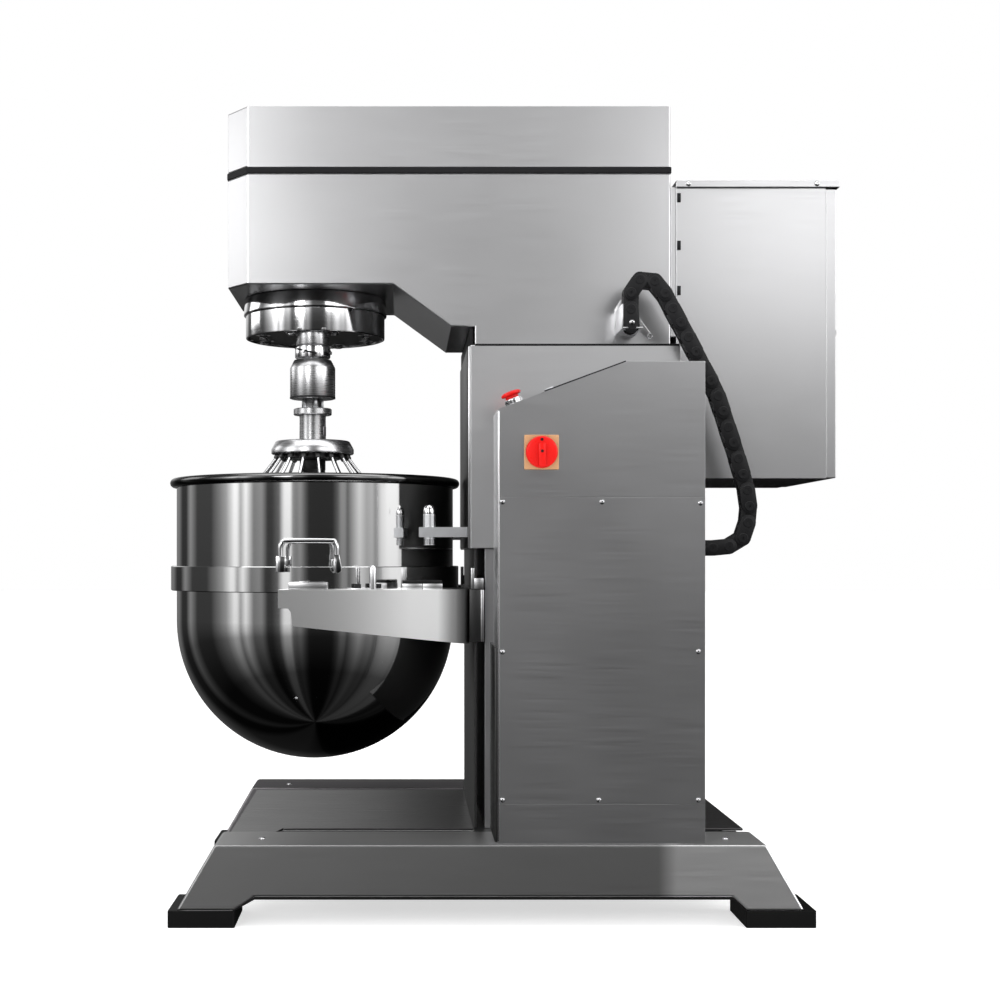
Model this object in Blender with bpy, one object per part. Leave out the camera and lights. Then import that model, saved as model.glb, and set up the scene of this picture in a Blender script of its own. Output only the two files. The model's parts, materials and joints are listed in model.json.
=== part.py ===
"""Floor-standing planetary mixer with a lifting head.

Frame: metres, +Z up, +X from the bowl towards the rear cabinet, -Y towards the operator's
side that carries the control cabinet. Z = 0 is the floor, and the origin is the middle of the
box around the whole machine. The X values below are measured from a datum in the column,
an empty that carries every piece. At rest the head is at the bottom of its travel, with the
whisk in the bowl.
"""
import math

import bmesh
import bpy
from mathutils import Matrix, Vector

GAP = 0.0003                 # gap kept between pieces that touch
DATUM_X = 0.029              # where the datum stands, so that the whole is centred

# Base
BASE_HALF_WIDTH = 0.450
RAIL_INNER_Y = 0.300
RAIL_TOP_Z = 0.157
RAIL_WEB_Z = 0.0595          # underside of a rail between its feet
RAIL_SHEET = 0.005
RAIL_TOP_X = (-0.578, 0.465)
RAIL_TOE_X = (-0.650, 0.536)
RAIL_HEEL_X = (-0.5435, 0.429)
RAIL_ARCH_X = (-0.5035, 0.401)
FOOT_Z = 0.033
FOOT_X = (-0.667, 0.559)
FOOT_HEEL = 0.0035           # how far a foot reaches past its rail, inwards and sideways
PAN_Z = 0.153
PAN_SHEET = 0.005
PAN_FRONT_X = -0.566
DRAIN_X = -0.482             # where the drain slot beside the near rail starts
DRAIN_WIDTH = 0.062
DRAIN_LEAD = 0.018           # length of the slot's slanted end

# Column, inside the lifting sleeve
MAST_X = (-0.040, 0.200)
MAST_HALF_WIDTH = 0.165
MAST_TOP_Z = 1.400
MAST_WALL = 0.010
MAST_FOOT_X = (-0.0805, 0.345)
COVER_X = (-0.058, 0.323)
COVER_HALF_WIDTH = 0.262
COVER_TOP_Z = 1.112
COVER_SHEET = 0.003
FRONT_PLATE_X = (-0.0793, -0.0748)
FRONT_PLATE_HALF_WIDTH = 0.265
GUIDE_X = 0.080              # middle of the guide ways
WAY_HALF = 0.015
WAY_OUTER_Y = 0.180
WAY_LOW_Z = 0.300
SHOE_Z = (0.750, 0.990)
CARRIAGE_Y = (0.1990, 0.2057)   # inner and outer face of a side plate
SCREW_X = 0.250              # axis of the lift screw
SCREW_Z = (0.360, 1.250)
SCREW_R = 0.016
NUT_R = 0.028
NUT_Z = (0.745, 0.800)

# Lifting head
HEAD_HALF_WIDTH = 0.210
HEAD_FRONT_X = -0.585
HEAD_REAR_X = 0.323
HEAD_CHAMFER = (0.045, 0.060)
HEAD_BOTTOM_Z = 1.257
NECK = ((-0.242, 1.257), (-0.124, 1.171), (-0.076, 1.171), (-0.076, 1.125))
HEAD_TOP_Z = 1.4826
LID_Z = (1.496, 1.620)
HEAD_WALL = 0.004
SLEEVE_X = (-0.0874, 0.3335)
SLEEVE_HALF_WIDTH = 0.2735
SLEEVE_Z = (0.718, 1.1245)
SLEEVE_WALL = 0.004

# Planetary drive
BOWL_X = -0.412              # main vertical axis: drum, main shaft and bowl
TOOL_OFFSET = 0.105          # planet axis to main axis
GEAR_MODULE = 0.00525
RING_TEETH = 56
PINION_TEETH = 16
RING_GEAR_Z = (1.2653, 1.295)
RING_GEAR_R = 0.165
PINION_Z = (1.268, 1.293)
DRUM_Z = (1.172, 1.2555)
DRUM_R = 0.150
MAIN_SHAFT_R = 0.0275
MAIN_SHAFT_Z = (1.1905, 1.590)
PLANET_SHAFT_R = 0.020
PLANET_SHAFT_Z = (1.0355, 1.293)
PLANET_BEARING_R = 0.030
COLLAR_Z = (1.1183, 1.1431)
COUPLING_Z = (1.033, 1.1145)
DRIVE_PLATE_Z = (1.455, 1.467)
MOTOR_X = -0.150
MOTOR_R = 0.088
MOTOR_BORE_R = 0.0145
MOTOR_SHAFT_LOW_Z = 1.300
BELT_Z = (1.530, 1.580)
MAIN_PULLEY_R = 0.140
MOTOR_PULLEY_R = 0.042

# Bowl
BOWL_R = 0.298
BOWL_WALL = 0.003
BOWL_SEGMENTS = 44
BALL_STEPS = 8
BOWL_FOOT_R = 0.004
BOWL_BALL_Z = 0.566          # centre of the half-ball that closes the bowl
RIM_Z = 0.859
RIM_BEAD_R = 0.011
BAND_Z = (0.630, 0.682)
BAND_R = 0.310
BAND_LUG_X = (-0.4455, -0.370)
BAND_LUG_TOP_Z = 0.6515
HANDLE_X = BOWL_X + 0.005    # middle of a handle
HANDLE_REACH = 0.053
HANDLE_TOP_Z = 0.732
HANDLE_Y = 0.331
HANDLE_FOOT_Y = 0.318
HANDLE_BAR_R = 0.005
FORK_TOP_Z = 0.637
FORK_LOW_Z = 0.532            # underside at the column; the arms taper towards the front
FORK_OUTER_Y = 0.360
FORK_FRONT_X = -0.465
FORK_REAR_X = -0.0957
FORK_DRAW = 0.034            # how far an arm's outer face draws in towards the rear
FORK_CORNER_R = 0.055
FORK_THROAT_Y = 0.120
PIN_PLACE = (-0.2812, 0.335)
HOLD_DOWN_PIN = (-0.169, 0.2485)

# Whisk
WHISK_LOOPS = 6
WHISK_LOW_Z = 0.307
WIRE_R = 0.003
CAGE_R = 0.180
DISC_Z = 0.917

# Cabinets
SIDE_X = (-0.0416, 0.352)
SIDE_Y = (-0.430, -0.285)
SIDE_TOP_Z = 1.073
SLOPE_FOOT = (-0.0416, 0.982)
SLOPE_HEAD = (0.205, 1.073)
SEAM_Z = (0.231, 0.815)
PANEL = 0.0017
REAR_X = (0.3345, 0.640)
REAR_Z = (0.860, 1.4642)
CAP_Z = (1.453, 1.468)
DOOR_X = (0.6403, 0.660)
SWITCH_PLACE = (0.041, 0.900)
SWITCH_PLATE_HALF = 0.033
PANEL_Y = -0.3575            # middle of the slope's controls
ESTOP_ALONG = 0.040          # distances up the slope from its foot
PANEL_ALONG = 0.165
START_ALONG = 0.110
ROCKER_ALONG = 0.125
SPEED_ALONG = 0.190

# Cable carrier
CARRIER_Y = -0.300
CARRIER_HALF = (0.015, 0.014)
CARRIER_ROUTE = ((0.2297, 1.1580), (0.2274, 1.2101), (0.2336, 1.2378), (0.2594, 1.2537),
                 (0.2851, 1.2359), (0.3030, 1.2061), (0.3188, 1.1764), (0.3505, 1.1170),
                 (0.3740, 1.0700), (0.3961, 1.0279), (0.4178, 0.9635), (0.4416, 0.8892),
                 (0.4594, 0.8238), (0.4614, 0.7941), (0.4575, 0.7634), (0.4456, 0.7347),
                 (0.4119, 0.7188), (0.3901, 0.7188), (0.3570, 0.7188))

TOOL_AXIS = (BOWL_X, -TOOL_OFFSET)
SLOPE = math.atan2(SLOPE_HEAD[1] - SLOPE_FOOT[1], SLOPE_HEAD[0] - SLOPE_FOOT[0])


def clear_scene():
    for obj in list(bpy.data.objects):
        bpy.data.objects.remove(obj, do_unlink=True)


def make_datum():
    datum = bpy.data.objects.new("datum", None)
    datum.location = (DATUM_X, 0, 0)
    bpy.context.scene.collection.objects.link(datum)


# ---------------------------------------------------------------- materials
def material(name, color, roughness, metallic):
    found = bpy.data.materials.get(name)
    if found:
        return found
    made = bpy.data.materials.new(name)
    made.use_nodes = True
    made.diffuse_color = (*color, 1.0)
    shader = made.node_tree.nodes["Principled BSDF"]
    shader.inputs["Base Color"].default_value = (*color, 1.0)
    shader.inputs["Roughness"].default_value = roughness
    shader.inputs["Metallic"].default_value = metallic
    return made


def stainless():
    return material("brushed_stainless", (0.62, 0.62, 0.63), 0.34, 1.0)


def polished():
    return material("polished_stainless", (0.66, 0.66, 0.66), 0.12, 1.0)


def satin():
    return material("satin_casting", (0.72, 0.73, 0.74), 0.42, 0.9)


def steel():
    return material("machined_steel", (0.45, 0.46, 0.47), 0.30, 1.0)


def base_gray():
    return material("base_gray", (0.16, 0.155, 0.16), 0.45, 0.6)


def rubber():
    return material("black_rubber", (0.015, 0.015, 0.016), 0.70, 0.0)


def black_plastic():
    return material("black_plastic", (0.02, 0.021, 0.023), 0.45, 0.0)


def red_plastic():
    return material("red_plastic", (0.75, 0.02, 0.02), 0.35, 0.0)


def amber_plastic():
    return material("amber_plastic", (0.83, 0.42, 0.10), 0.45, 0.0)


def bronze():
    return material("bronze", (0.55, 0.36, 0.16), 0.35, 1.0)


def motor_gray():
    return material("motor_gray", (0.22, 0.24, 0.26), 0.50, 0.3)


# ---------------------------------------------------------------- mesh helpers
def loft(rings, closed_ring=False):
    """Joins equal rings of points, capping the two ends unless the rings close on themselves."""
    bm = bmesh.new()
    rows = [[bm.verts.new(p) for p in ring] for ring in rings]
    count = len(rows[0])
    pairs = list(zip(rows, rows[1:] + rows[:1] if closed_ring else rows[1:]))
    for low, high in pairs:
        for i in range(count):
            j = (i + 1) % count
            bm.faces.new((low[i], low[j], high[j], high[i]))
    if not closed_ring:
        bm.faces.new(list(reversed(rows[0])))
        bm.faces.new(rows[-1])
    bmesh.ops.recalc_face_normals(bm, faces=bm.faces)
    return bm


def box(x, y, z):
    corners = [(x[0], y[0]), (x[1], y[0]), (x[1], y[1]), (x[0], y[1])]
    return prism_z(corners, *z)


def prism_z(outline, z0, z1):
    return loft([[(x, y, z) for x, y in outline] for z in (z0, z1)])


def prism_y(outline, y0, y1):
    return loft([[(x, y, z) for x, z in outline] for y in (y0, y1)])


def turned(profile, center, segments=32):
    """Turns a closed (radius, z) outline about the vertical through center."""
    rings = []
    for i in range(segments):
        a = 2 * math.pi * i / segments
        rings.append([(center[0] + r * math.cos(a), center[1] + r * math.sin(a), z)
                      for r, z in profile])
    return loft(rings, closed_ring=True)


def solid_turned(profile, center, segments=32):
    """Turns a (radius, z) line, bottom to top, into a solid with flat ends."""
    rings = []
    for r, z in profile:
        rings.append([(center[0] + r * math.cos(a), center[1] + r * math.sin(a), z)
                      for a in angles(segments)])
    return loft(rings)


def ring(center, inner, outer, z0, z1, segments=32):
    return turned([(inner, z0), (outer, z0), (outer, z1), (inner, z1)], center, segments)


def rod(center, radius, z0, z1, segments=32):
    return solid_turned([(radius, z0), (radius, z1)], center, segments)


def angles(count):
    return [2 * math.pi * i / count for i in range(count)]


def sweep(points, sides, radius=None, section=None):
    """A tube of a round or given section along points, its frame carried without twist."""
    path = [Vector(p) for p in points]
    if section is None:
        section = [(radius * math.cos(a), radius * math.sin(a)) for a in angles(sides)]
    rings = []
    side = None
    for i, p in enumerate(path):
        along = (path[min(i + 1, len(path) - 1)] - path[max(i - 1, 0)]).normalized()
        if side is None:
            side = along.orthogonal().normalized()
            if abs(along.y) < 0.5:
                side = Vector((0, 1, 0))
        side = (side - along * side.dot(along)).normalized()
        up = along.cross(side)
        rings.append([p + side * a + up * b for a, b in section])
    return loft(rings)


def inset(outline, distance):
    """Moves each edge of a counterclockwise outline inwards by distance."""
    moved = []
    count = len(outline)
    for i in range(count):
        before = Vector(outline[i - 1])
        here = Vector(outline[i])
        after = Vector(outline[(i + 1) % count])
        d1 = (here - before).normalized()
        d2 = (after - here).normalized()
        n1 = Vector((-d1.y, d1.x))
        n2 = Vector((-d2.y, d2.x))
        bisector = (n1 + n2).normalized()
        point = here + bisector * (distance / bisector.dot(n1))
        moved.append((point.x, point.y))
    return moved


def smooth_path(points, steps):
    """Points read from a Catmull-Rom curve through the route's own points."""
    ends = [Vector(points[0]) * 2 - Vector(points[1])]
    ends += [Vector(p) for p in points]
    ends += [Vector(points[-1]) * 2 - Vector(points[-2])]
    out = []
    for a, b, c, d in zip(ends, ends[1:], ends[2:], ends[3:]):
        for k in range(steps):
            t = k / steps
            out.append(0.5 * (2 * b + (c - a) * t + (2 * a - 5 * b + 4 * c - d) * t * t
                              + (3 * b - a - 3 * c + d) * t ** 3))
    return out + [ends[-2]]


# ---------------------------------------------------------------- object helpers
def node(name, bm, mat, origin=(0, 0, 0), tilt=0.0, round_piece=False):
    """Makes the object; its mesh is given from the datum unless it is tilted."""
    mesh = bpy.data.meshes.new(name)
    if not tilt:
        bmesh.ops.translate(bm, vec=-Vector(origin), verts=bm.verts)
    bm.to_mesh(mesh)
    bm.free()
    obj = bpy.data.objects.new(name, mesh)
    bpy.context.scene.collection.objects.link(obj)
    obj.parent = bpy.data.objects["datum"]
    obj.location = origin
    obj.rotation_euler = (0, -tilt, 0)
    if mat:
        mesh.materials.append(mat)
    if round_piece:
        mesh.shade_smooth()
        mesh.set_sharp_from_angle(angle=math.radians(35))
    return obj


def boolean(obj, bm, operation):
    tool = node("tool_for_" + obj.name, bm, None)
    tool.hide_render = True
    tool.display_type = "WIRE"
    tool.hide_set(True)
    step = obj.modifiers.new(operation.lower(), "BOOLEAN")
    step.operation = operation
    step.object = tool
    return tool


def cut(obj, bm):
    return boolean(obj, bm, "DIFFERENCE")


def add(obj, bm):
    return boolean(obj, bm, "UNION")


def both_sides(name, make, *details, **more):
    """Makes the near (-Y) and far (+Y) copy of a piece."""
    for side, sign in (("near", -1), ("far", 1)):
        make(f"{name}_{side}", sign, *details, **more)


def span(sign, inner, outer):
    return (inner, outer) if sign > 0 else (-outer, -inner)


# ---------------------------------------------------------------- base
def rail_outline():
    return [(RAIL_TOE_X[0], FOOT_Z + GAP), (RAIL_HEEL_X[0], FOOT_Z + GAP),
            (RAIL_ARCH_X[0], RAIL_WEB_Z), (RAIL_ARCH_X[1], RAIL_WEB_Z),
            (RAIL_HEEL_X[1], FOOT_Z + GAP), (RAIL_TOE_X[1], FOOT_Z + GAP),
            (RAIL_TOP_X[1], RAIL_TOP_Z), (RAIL_TOP_X[0], RAIL_TOP_Z)]


def base_rail(name, sign):
    rail = node(name, prism_y(rail_outline(), *span(sign, RAIL_INNER_Y, BASE_HALF_WIDTH)),
                base_gray())
    hollow = [(RAIL_TOE_X[0] + 0.012, 0), (RAIL_TOE_X[1] - 0.012, 0),
              (RAIL_TOP_X[1] - 0.004, RAIL_TOP_Z - RAIL_SHEET),
              (RAIL_TOP_X[0] + 0.004, RAIL_TOP_Z - RAIL_SHEET)]
    sides = span(sign, RAIL_INNER_Y + RAIL_SHEET, BASE_HALF_WIDTH - RAIL_SHEET)
    cut(rail, prism_y(hollow, *sides))


def rail_foot(name, sign, end):
    """A rubber block under a rail's end, standing out beyond its toe."""
    heel = RAIL_HEEL_X[end] + (FOOT_HEEL if end == 0 else -FOOT_HEEL)
    y = span(sign, RAIL_INNER_Y - FOOT_HEEL, BASE_HALF_WIDTH)
    node(name, box(sorted((heel, FOOT_X[end])), y, (0, FOOT_Z)), rubber())


def base_feet():
    for end, place in ((0, "front"), (1, "rear")):
        both_sides(f"foot_{place}", rail_foot, end)


def base_pan():
    """Floor plate between the rails, with a drain slot along the near rail."""
    half = RAIL_INNER_Y - GAP
    slot = half - DRAIN_WIDTH
    rear = RAIL_TOP_X[1]
    outline = [(PAN_FRONT_X, -half), (DRAIN_X, -half), (DRAIN_X + DRAIN_LEAD, -slot),
               (rear, -slot), (rear, half), (PAN_FRONT_X, half)]
    node("base_pan", prism_z(outline, PAN_Z - PAN_SHEET, PAN_Z), base_gray())


# ---------------------------------------------------------------- fixed column
def mast():
    """Box-section mast on its foot plate, with a machined guide way down each side."""
    half = MAST_HALF_WIDTH
    foot_half = RAIL_INNER_Y - GAP
    column = node("mast", box(MAST_X, (-half, half), (PAN_Z + GAP, MAST_TOP_Z)), motor_gray())
    add(column, box(MAST_FOOT_X, (-foot_half, foot_half), (PAN_Z + GAP, RAIL_TOP_Z)))
    for sign in (-1, 1):
        way = box((GUIDE_X - WAY_HALF, GUIDE_X + WAY_HALF), span(sign, half - 0.005, WAY_OUTER_Y),
                  (WAY_LOW_Z, MAST_TOP_Z - 0.005))
        add(column, way)
    wall = MAST_WALL
    cut(column, box((MAST_X[0] + wall, MAST_X[1] - wall), (wall - half, half - wall),
                    (0.1, MAST_TOP_Z + 0.1)))


def column_cover():
    z = (RAIL_TOP_Z + GAP, COVER_TOP_Z)
    half = COVER_HALF_WIDTH
    cover = node("column_cover", box(COVER_X, (-half, half), z), stainless())
    sheet = COVER_SHEET
    cut(cover, box((COVER_X[0] + sheet, COVER_X[1] - sheet), (sheet - half, half - sheet),
                   (0.1, COVER_TOP_Z + 0.1)))
    half = FRONT_PLATE_HALF_WIDTH
    node("column_front_plate", box(FRONT_PLATE_X, (-half, half), z), base_gray())


def lift_carriage():
    """Two side plates with guide shoes, hung from the head, and the beam behind the mast."""
    inner, outer = CARRIAGE_Y
    beam = box((0.2053, 0.300), (-outer, outer), (0.752, 0.792))
    carriage = node("lift_carriage", beam, steel())
    shoe_x = (GUIDE_X - 0.035, GUIDE_X + 0.035)
    for sign in (-1, 1):
        add(carriage, box((0.035, 0.300), span(sign, inner, outer), (0.740, 1.300)))
        add(carriage, box(shoe_x, span(sign, MAST_HALF_WIDTH + 0.003, inner + 0.003), SHOE_Z))
        cut(carriage, box((GUIDE_X - WAY_HALF - GAP, GUIDE_X + WAY_HALF + GAP),
                          span(sign, 0.150, WAY_OUTER_Y + GAP), (0.70, 1.05)))
    cut(carriage, rod((SCREW_X, 0), NUT_R + GAP, 0.70, 0.85))


def lift_drive():
    axis = (SCREW_X, 0)
    bore = SCREW_R + 0.0005
    node("lift_nut", ring(axis, bore, NUT_R, *NUT_Z), bronze(), round_piece=True)
    node("lift_screw", rod(axis, SCREW_R, *SCREW_Z), steel(), (*axis, SCREW_Z[0]),
         round_piece=True)
    drive = node("lift_gearmotor", box((0.205, 0.315), (-0.09, 0.09),
                                       (RAIL_TOP_Z + GAP, 0.400)), motor_gray())
    cut(drive, rod(axis, bore, 0.350, 0.45))


# ---------------------------------------------------------------- lifting head
def head_plan(rear=HEAD_REAR_X):
    half = HEAD_HALF_WIDTH
    back, side = HEAD_CHAMFER
    x = HEAD_FRONT_X
    return [(x, side - half), (x + back, -half), (rear, -half), (rear, half),
            (x + back, half), (x, half - side)]


def head_shell():
    shell = node("head_shell", prism_z(head_plan(), NECK[3][1] + GAP, HEAD_TOP_Z), stainless())
    below = [(-0.8, 1.0), (NECK[3][0], 1.0), (NECK[3][0], NECK[2][1]), NECK[1], NECK[0],
             (-0.8, HEAD_BOTTOM_Z)]
    cut(shell, prism_y(below, -0.5, 0.5))
    cavity = cut(shell, prism_z(inset(head_plan(), HEAD_WALL), 1.0, HEAD_TOP_Z + 0.1))
    floor = 2 * HEAD_WALL
    rear = NECK[3][0] + HEAD_WALL
    kept = [(-0.9, 0.9), (rear, 0.9), (rear, NECK[2][1] + floor),
            (NECK[1][0] + 0.002, NECK[1][1] + floor), (NECK[0][0] + 0.002, HEAD_BOTTOM_Z + floor),
            (-0.9, HEAD_BOTTOM_Z + floor)]
    cut(cavity, prism_y(kept, -0.6, 0.6))
    cut(shell, rod((BOWL_X, 0), 0.140, 1.20, 1.30, 48))


def head_gasket():
    outer = inset(head_plan(), -0.002)
    z = (HEAD_TOP_Z + GAP, LID_Z[0] - GAP)
    seal = node("head_gasket", prism_z(outer, *z), rubber())
    cut(seal, prism_z(inset(outer, 0.012), 1.4, 1.6))


def head_lid():
    lid = node("head_lid", prism_z(head_plan(), *LID_Z), stainless())
    cut(lid, prism_z(inset(head_plan(), 0.003), 1.4, LID_Z[1] - 0.003))


def column_sleeve():
    half = SLEEVE_HALF_WIDTH
    sleeve = node("column_sleeve", box(SLEEVE_X, (-half, half), SLEEVE_Z), stainless())
    wall = SLEEVE_WALL
    cut(sleeve, box((SLEEVE_X[0] + wall, SLEEVE_X[1] - wall), (wall - half, half - wall),
                    (0.6, SLEEVE_Z[1] - wall)))
    cut(sleeve, box((-0.070, 0.315), (-0.206, 0.206), (1.0, 1.2)))


def gear_outline(teeth, inward, root, tip):
    """Tooth outline: a gap is centred on -Y for a ring, and a tooth for a pinion."""
    points = []
    pitch = 2 * math.pi / teeth
    half_root = 0.30 if inward else 0.27
    half_tip = 0.13
    phase = -math.pi / 2 + (pitch / 2 if inward else 0)
    for k in range(teeth):
        middle = phase + k * pitch
        for share, radius in ((-half_root, root), (-half_tip, tip), (half_tip, tip),
                              (half_root, root)):
            a = middle + share * pitch
            points.append((radius, a))
    return points


def polar(points, center):
    return [(center[0] + r * math.cos(a), center[1] + r * math.sin(a)) for r, a in points]


def walls(inside, outside, z0, z1):
    """Four-cornered sections between two outlines, for lofting a ring of any shape."""
    return [[(xi, yi, z0), (xo, yo, z0), (xo, yo, z1), (xi, yi, z1)]
            for (xi, yi), (xo, yo) in zip(inside, outside)]


def ring_gear():
    pitch_r = GEAR_MODULE * RING_TEETH / 2
    inner = gear_outline(RING_TEETH, True, pitch_r + GEAR_MODULE, pitch_r - 0.75 * GEAR_MODULE)
    center = (BOWL_X, 0)
    inside = polar(inner, center)
    outside = polar([(RING_GEAR_R, a) for _, a in inner], center)
    node("ring_gear", loft(walls(inside, outside, *RING_GEAR_Z), closed_ring=True), steel())


def planet_pinion():
    pitch_r = GEAR_MODULE * PINION_TEETH / 2
    outline = gear_outline(PINION_TEETH, False, pitch_r - GEAR_MODULE,
                           pitch_r + 0.75 * GEAR_MODULE)
    outside = polar(outline, TOOL_AXIS)
    inside = polar([(PLANET_SHAFT_R + GAP, a) for _, a in outline], TOOL_AXIS)
    node("planet_pinion", loft(walls(inside, outside, *PINION_Z), closed_ring=True), steel(),
         (*TOOL_AXIS, PINION_Z[0]))


def main_drive():
    axis = (BOWL_X, 0)
    node("gear_cover", turned([(0.0500, 1.2955), (RING_GEAR_R, 1.2955), (RING_GEAR_R, 1.3035),
                               (0.0620, 1.3035), (0.0620, 1.350), (0.0500, 1.350)], axis),
         satin(), round_piece=True)
    node("main_bearing", ring(axis, MAIN_SHAFT_R + GAP, 0.0497, 1.300, 1.345), steel(),
         round_piece=True)
    plate = node("drive_plate", box((-0.530, -0.060), (-0.200, 0.200), DRIVE_PLATE_Z), steel())
    cut(plate, rod(axis, MAIN_SHAFT_R + 0.002, 1.40, 1.50, 40))
    cut(plate, rod((MOTOR_X, 0), 2 * MOTOR_BORE_R, 1.40, 1.50, 40))
    node("main_shaft", rod(axis, MAIN_SHAFT_R, *MAIN_SHAFT_Z, 40), steel(),
         (*axis, MAIN_SHAFT_Z[0]), round_piece=True)
    node("main_pulley", ring(axis, MAIN_SHAFT_R + GAP, MAIN_PULLEY_R, *BELT_Z, 48), satin(),
         (*axis, BELT_Z[0]), round_piece=True)


def motor():
    axis = (MOTOR_X, 0)
    bore, low, top = MOTOR_BORE_R, 1.275, DRIVE_PLATE_Z[0] - GAP
    node("main_motor", turned([(bore, low), (MOTOR_R - 0.004, low), (MOTOR_R, low + 0.007),
                               (MOTOR_R, top - 0.0147), (MOTOR_R - 0.008, top), (bore, top)],
                              axis), motor_gray(), round_piece=True)
    shaft = MOTOR_BORE_R - 0.0005
    node("motor_pulley", solid_turned([(shaft, MOTOR_SHAFT_LOW_Z), (shaft, BELT_Z[0]),
                                       (MOTOR_PULLEY_R, BELT_Z[0]), (MOTOR_PULLEY_R, BELT_Z[1])],
                                      axis, 32), satin(), (*axis, MOTOR_SHAFT_LOW_Z),
         round_piece=True)


def belt_loop(r_big, r_small, big_x, small_x, count=14):
    """An outline that wraps two pulleys and runs straight between them."""
    lean = math.asin((r_big - r_small) / (small_x - big_x))
    points = []
    for center, radius, start, end in (
            (big_x, r_big, math.pi / 2 - lean, 3 * math.pi / 2 + lean),
            (small_x, r_small, -math.pi / 2 + lean, math.pi / 2 - lean)):
        for k in range(count + 1):
            a = start + (end - start) * k / count
            points.append((center + radius * math.cos(a), radius * math.sin(a)))
    return points


def drive_belt():
    wide = belt_loop(MAIN_PULLEY_R + 0.0065, MOTOR_PULLEY_R + 0.0060, BOWL_X, MOTOR_X)
    tight = belt_loop(MAIN_PULLEY_R + 0.0025, MOTOR_PULLEY_R + 0.0020, BOWL_X, MOTOR_X)
    z0, z1 = BELT_Z[0] + 0.007, BELT_Z[1] - 0.007
    node("drive_belt", loft(walls(tight, wide, z0, z1), closed_ring=True), rubber())


# ---------------------------------------------------------------- planetary drum and tool
def planet_drum():
    """The rotating carrier, with the seal housing of the planet shaft under it."""
    axis = (BOWL_X, 0)
    low, high = DRUM_Z
    profile = [(MAIN_SHAFT_R + GAP, 1.190), (MAIN_SHAFT_R + GAP, high), (0.1545, high),
               (0.1545, high - 0.004), (0.1505, 1.228), (DRUM_R, 1.224), (DRUM_R, low + 0.003),
               (DRUM_R - 0.003, low), (0.020, low), (0.020, 1.190)]
    drum = node("planet_drum", turned(list(reversed(profile)), axis, 48), polished(),
                (*axis, low), round_piece=True)
    add(drum, solid_turned([(0.033, 1.1436), (0.035, 1.146), (0.035, 1.180)], TOOL_AXIS, 32))
    cut(drum, rod(TOOL_AXIS, PLANET_BEARING_R + GAP, 1.166, 1.3, 32))
    cut(drum, rod(TOOL_AXIS, PLANET_SHAFT_R + GAP, 1.1, 1.2, 32))
    node("planet_bearing", ring(TOOL_AXIS, PLANET_SHAFT_R + GAP, PLANET_BEARING_R, 1.170, 1.250),
         steel(), round_piece=True)


def tool_shaft():
    bore = PLANET_SHAFT_R + GAP
    node("planet_shaft", rod(TOOL_AXIS, PLANET_SHAFT_R, *PLANET_SHAFT_Z), steel(),
         (*TOOL_AXIS, PLANET_SHAFT_Z[0]), round_piece=True)
    low, high = COLLAR_Z
    node("lock_collar", turned([(bore, low), (0.0365, low), (0.038, low + 0.0017),
                                (0.038, high - 0.0016), (0.0365, high), (bore, high)],
                               TOOL_AXIS), polished(), (*TOOL_AXIS, low), round_piece=True)
    low, high = COUPLING_Z
    node("coupling_sleeve", turned([(bore, low), (0.0455, low), (0.0475, low + 0.003),
                                    (0.0475, high - 0.0158), (0.0385, high), (bore, high)],
                                   TOOL_AXIS), polished(), (*TOOL_AXIS, low),
         round_piece=True)


def cage_radius(z, low):
    """Keeps a wire inside the bowl's half-ball all the way round its orbit."""
    reach = CAGE_R + TOOL_OFFSET
    full_depth = math.sqrt(reach ** 2 - TOOL_OFFSET ** 2)
    depth = full_depth * (BOWL_BALL_Z - z) / (BOWL_BALL_Z - low)
    return math.sqrt(max(0.0, reach ** 2 - depth ** 2)) - TOOL_OFFSET


def wire_loop(k):
    """A wire that leaves the disc, fans out, runs down and crosses under the shaft axis."""
    low = WHISK_LOW_Z + k * 1.2 * WIRE_R
    half = [(0.066, 0.925), (0.088, 0.892), (0.126, 0.846), (0.158, 0.790),
            (0.175, 0.720), (CAGE_R, 0.640)]
    for step in range(1, 8):
        z = BOWL_BALL_Z - (BOWL_BALL_Z - low) * math.sin(math.pi / 2 * step / 7)
        half.append((cage_radius(z, low), z))
    half[-1] = (0.0, low)
    route = half + [(-r, z) for r, z in reversed(half[:-1])]
    turn = math.pi * (k + 0.5) / WHISK_LOOPS
    points = [(TOOL_AXIS[0] + r * math.cos(turn), TOOL_AXIS[1] + r * math.sin(turn), z)
              for r, z in route]
    return sweep(points, 5, WIRE_R)


def whisk():
    """The welded tool: flanged shank, disc and wires."""
    head = [(0.0865, DISC_Z), (0.0865, 0.930), (0.0795, 0.944), (0.0275, 0.944),
            (0.0275, 0.999), (0.040, 0.999), (0.040, 1.0125), (0.0185, 1.0125),
            (0.0185, 1.0352)]
    tool = node("whisk", solid_turned(head, TOOL_AXIS, 32), polished(),
                (*TOOL_AXIS, DISC_Z), round_piece=True)
    for k in range(WHISK_LOOPS):
        add(tool, wire_loop(k))


# ---------------------------------------------------------------- bowl and its fork
def ball_point(radius, k):
    """Step k of the half-ball's section, from its middle height down to a small flat foot."""
    a = math.pi / 2 * k / BALL_STEPS
    return (max(radius * math.cos(a), BOWL_FOOT_R), BOWL_BALL_Z - radius * math.sin(a))


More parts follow.
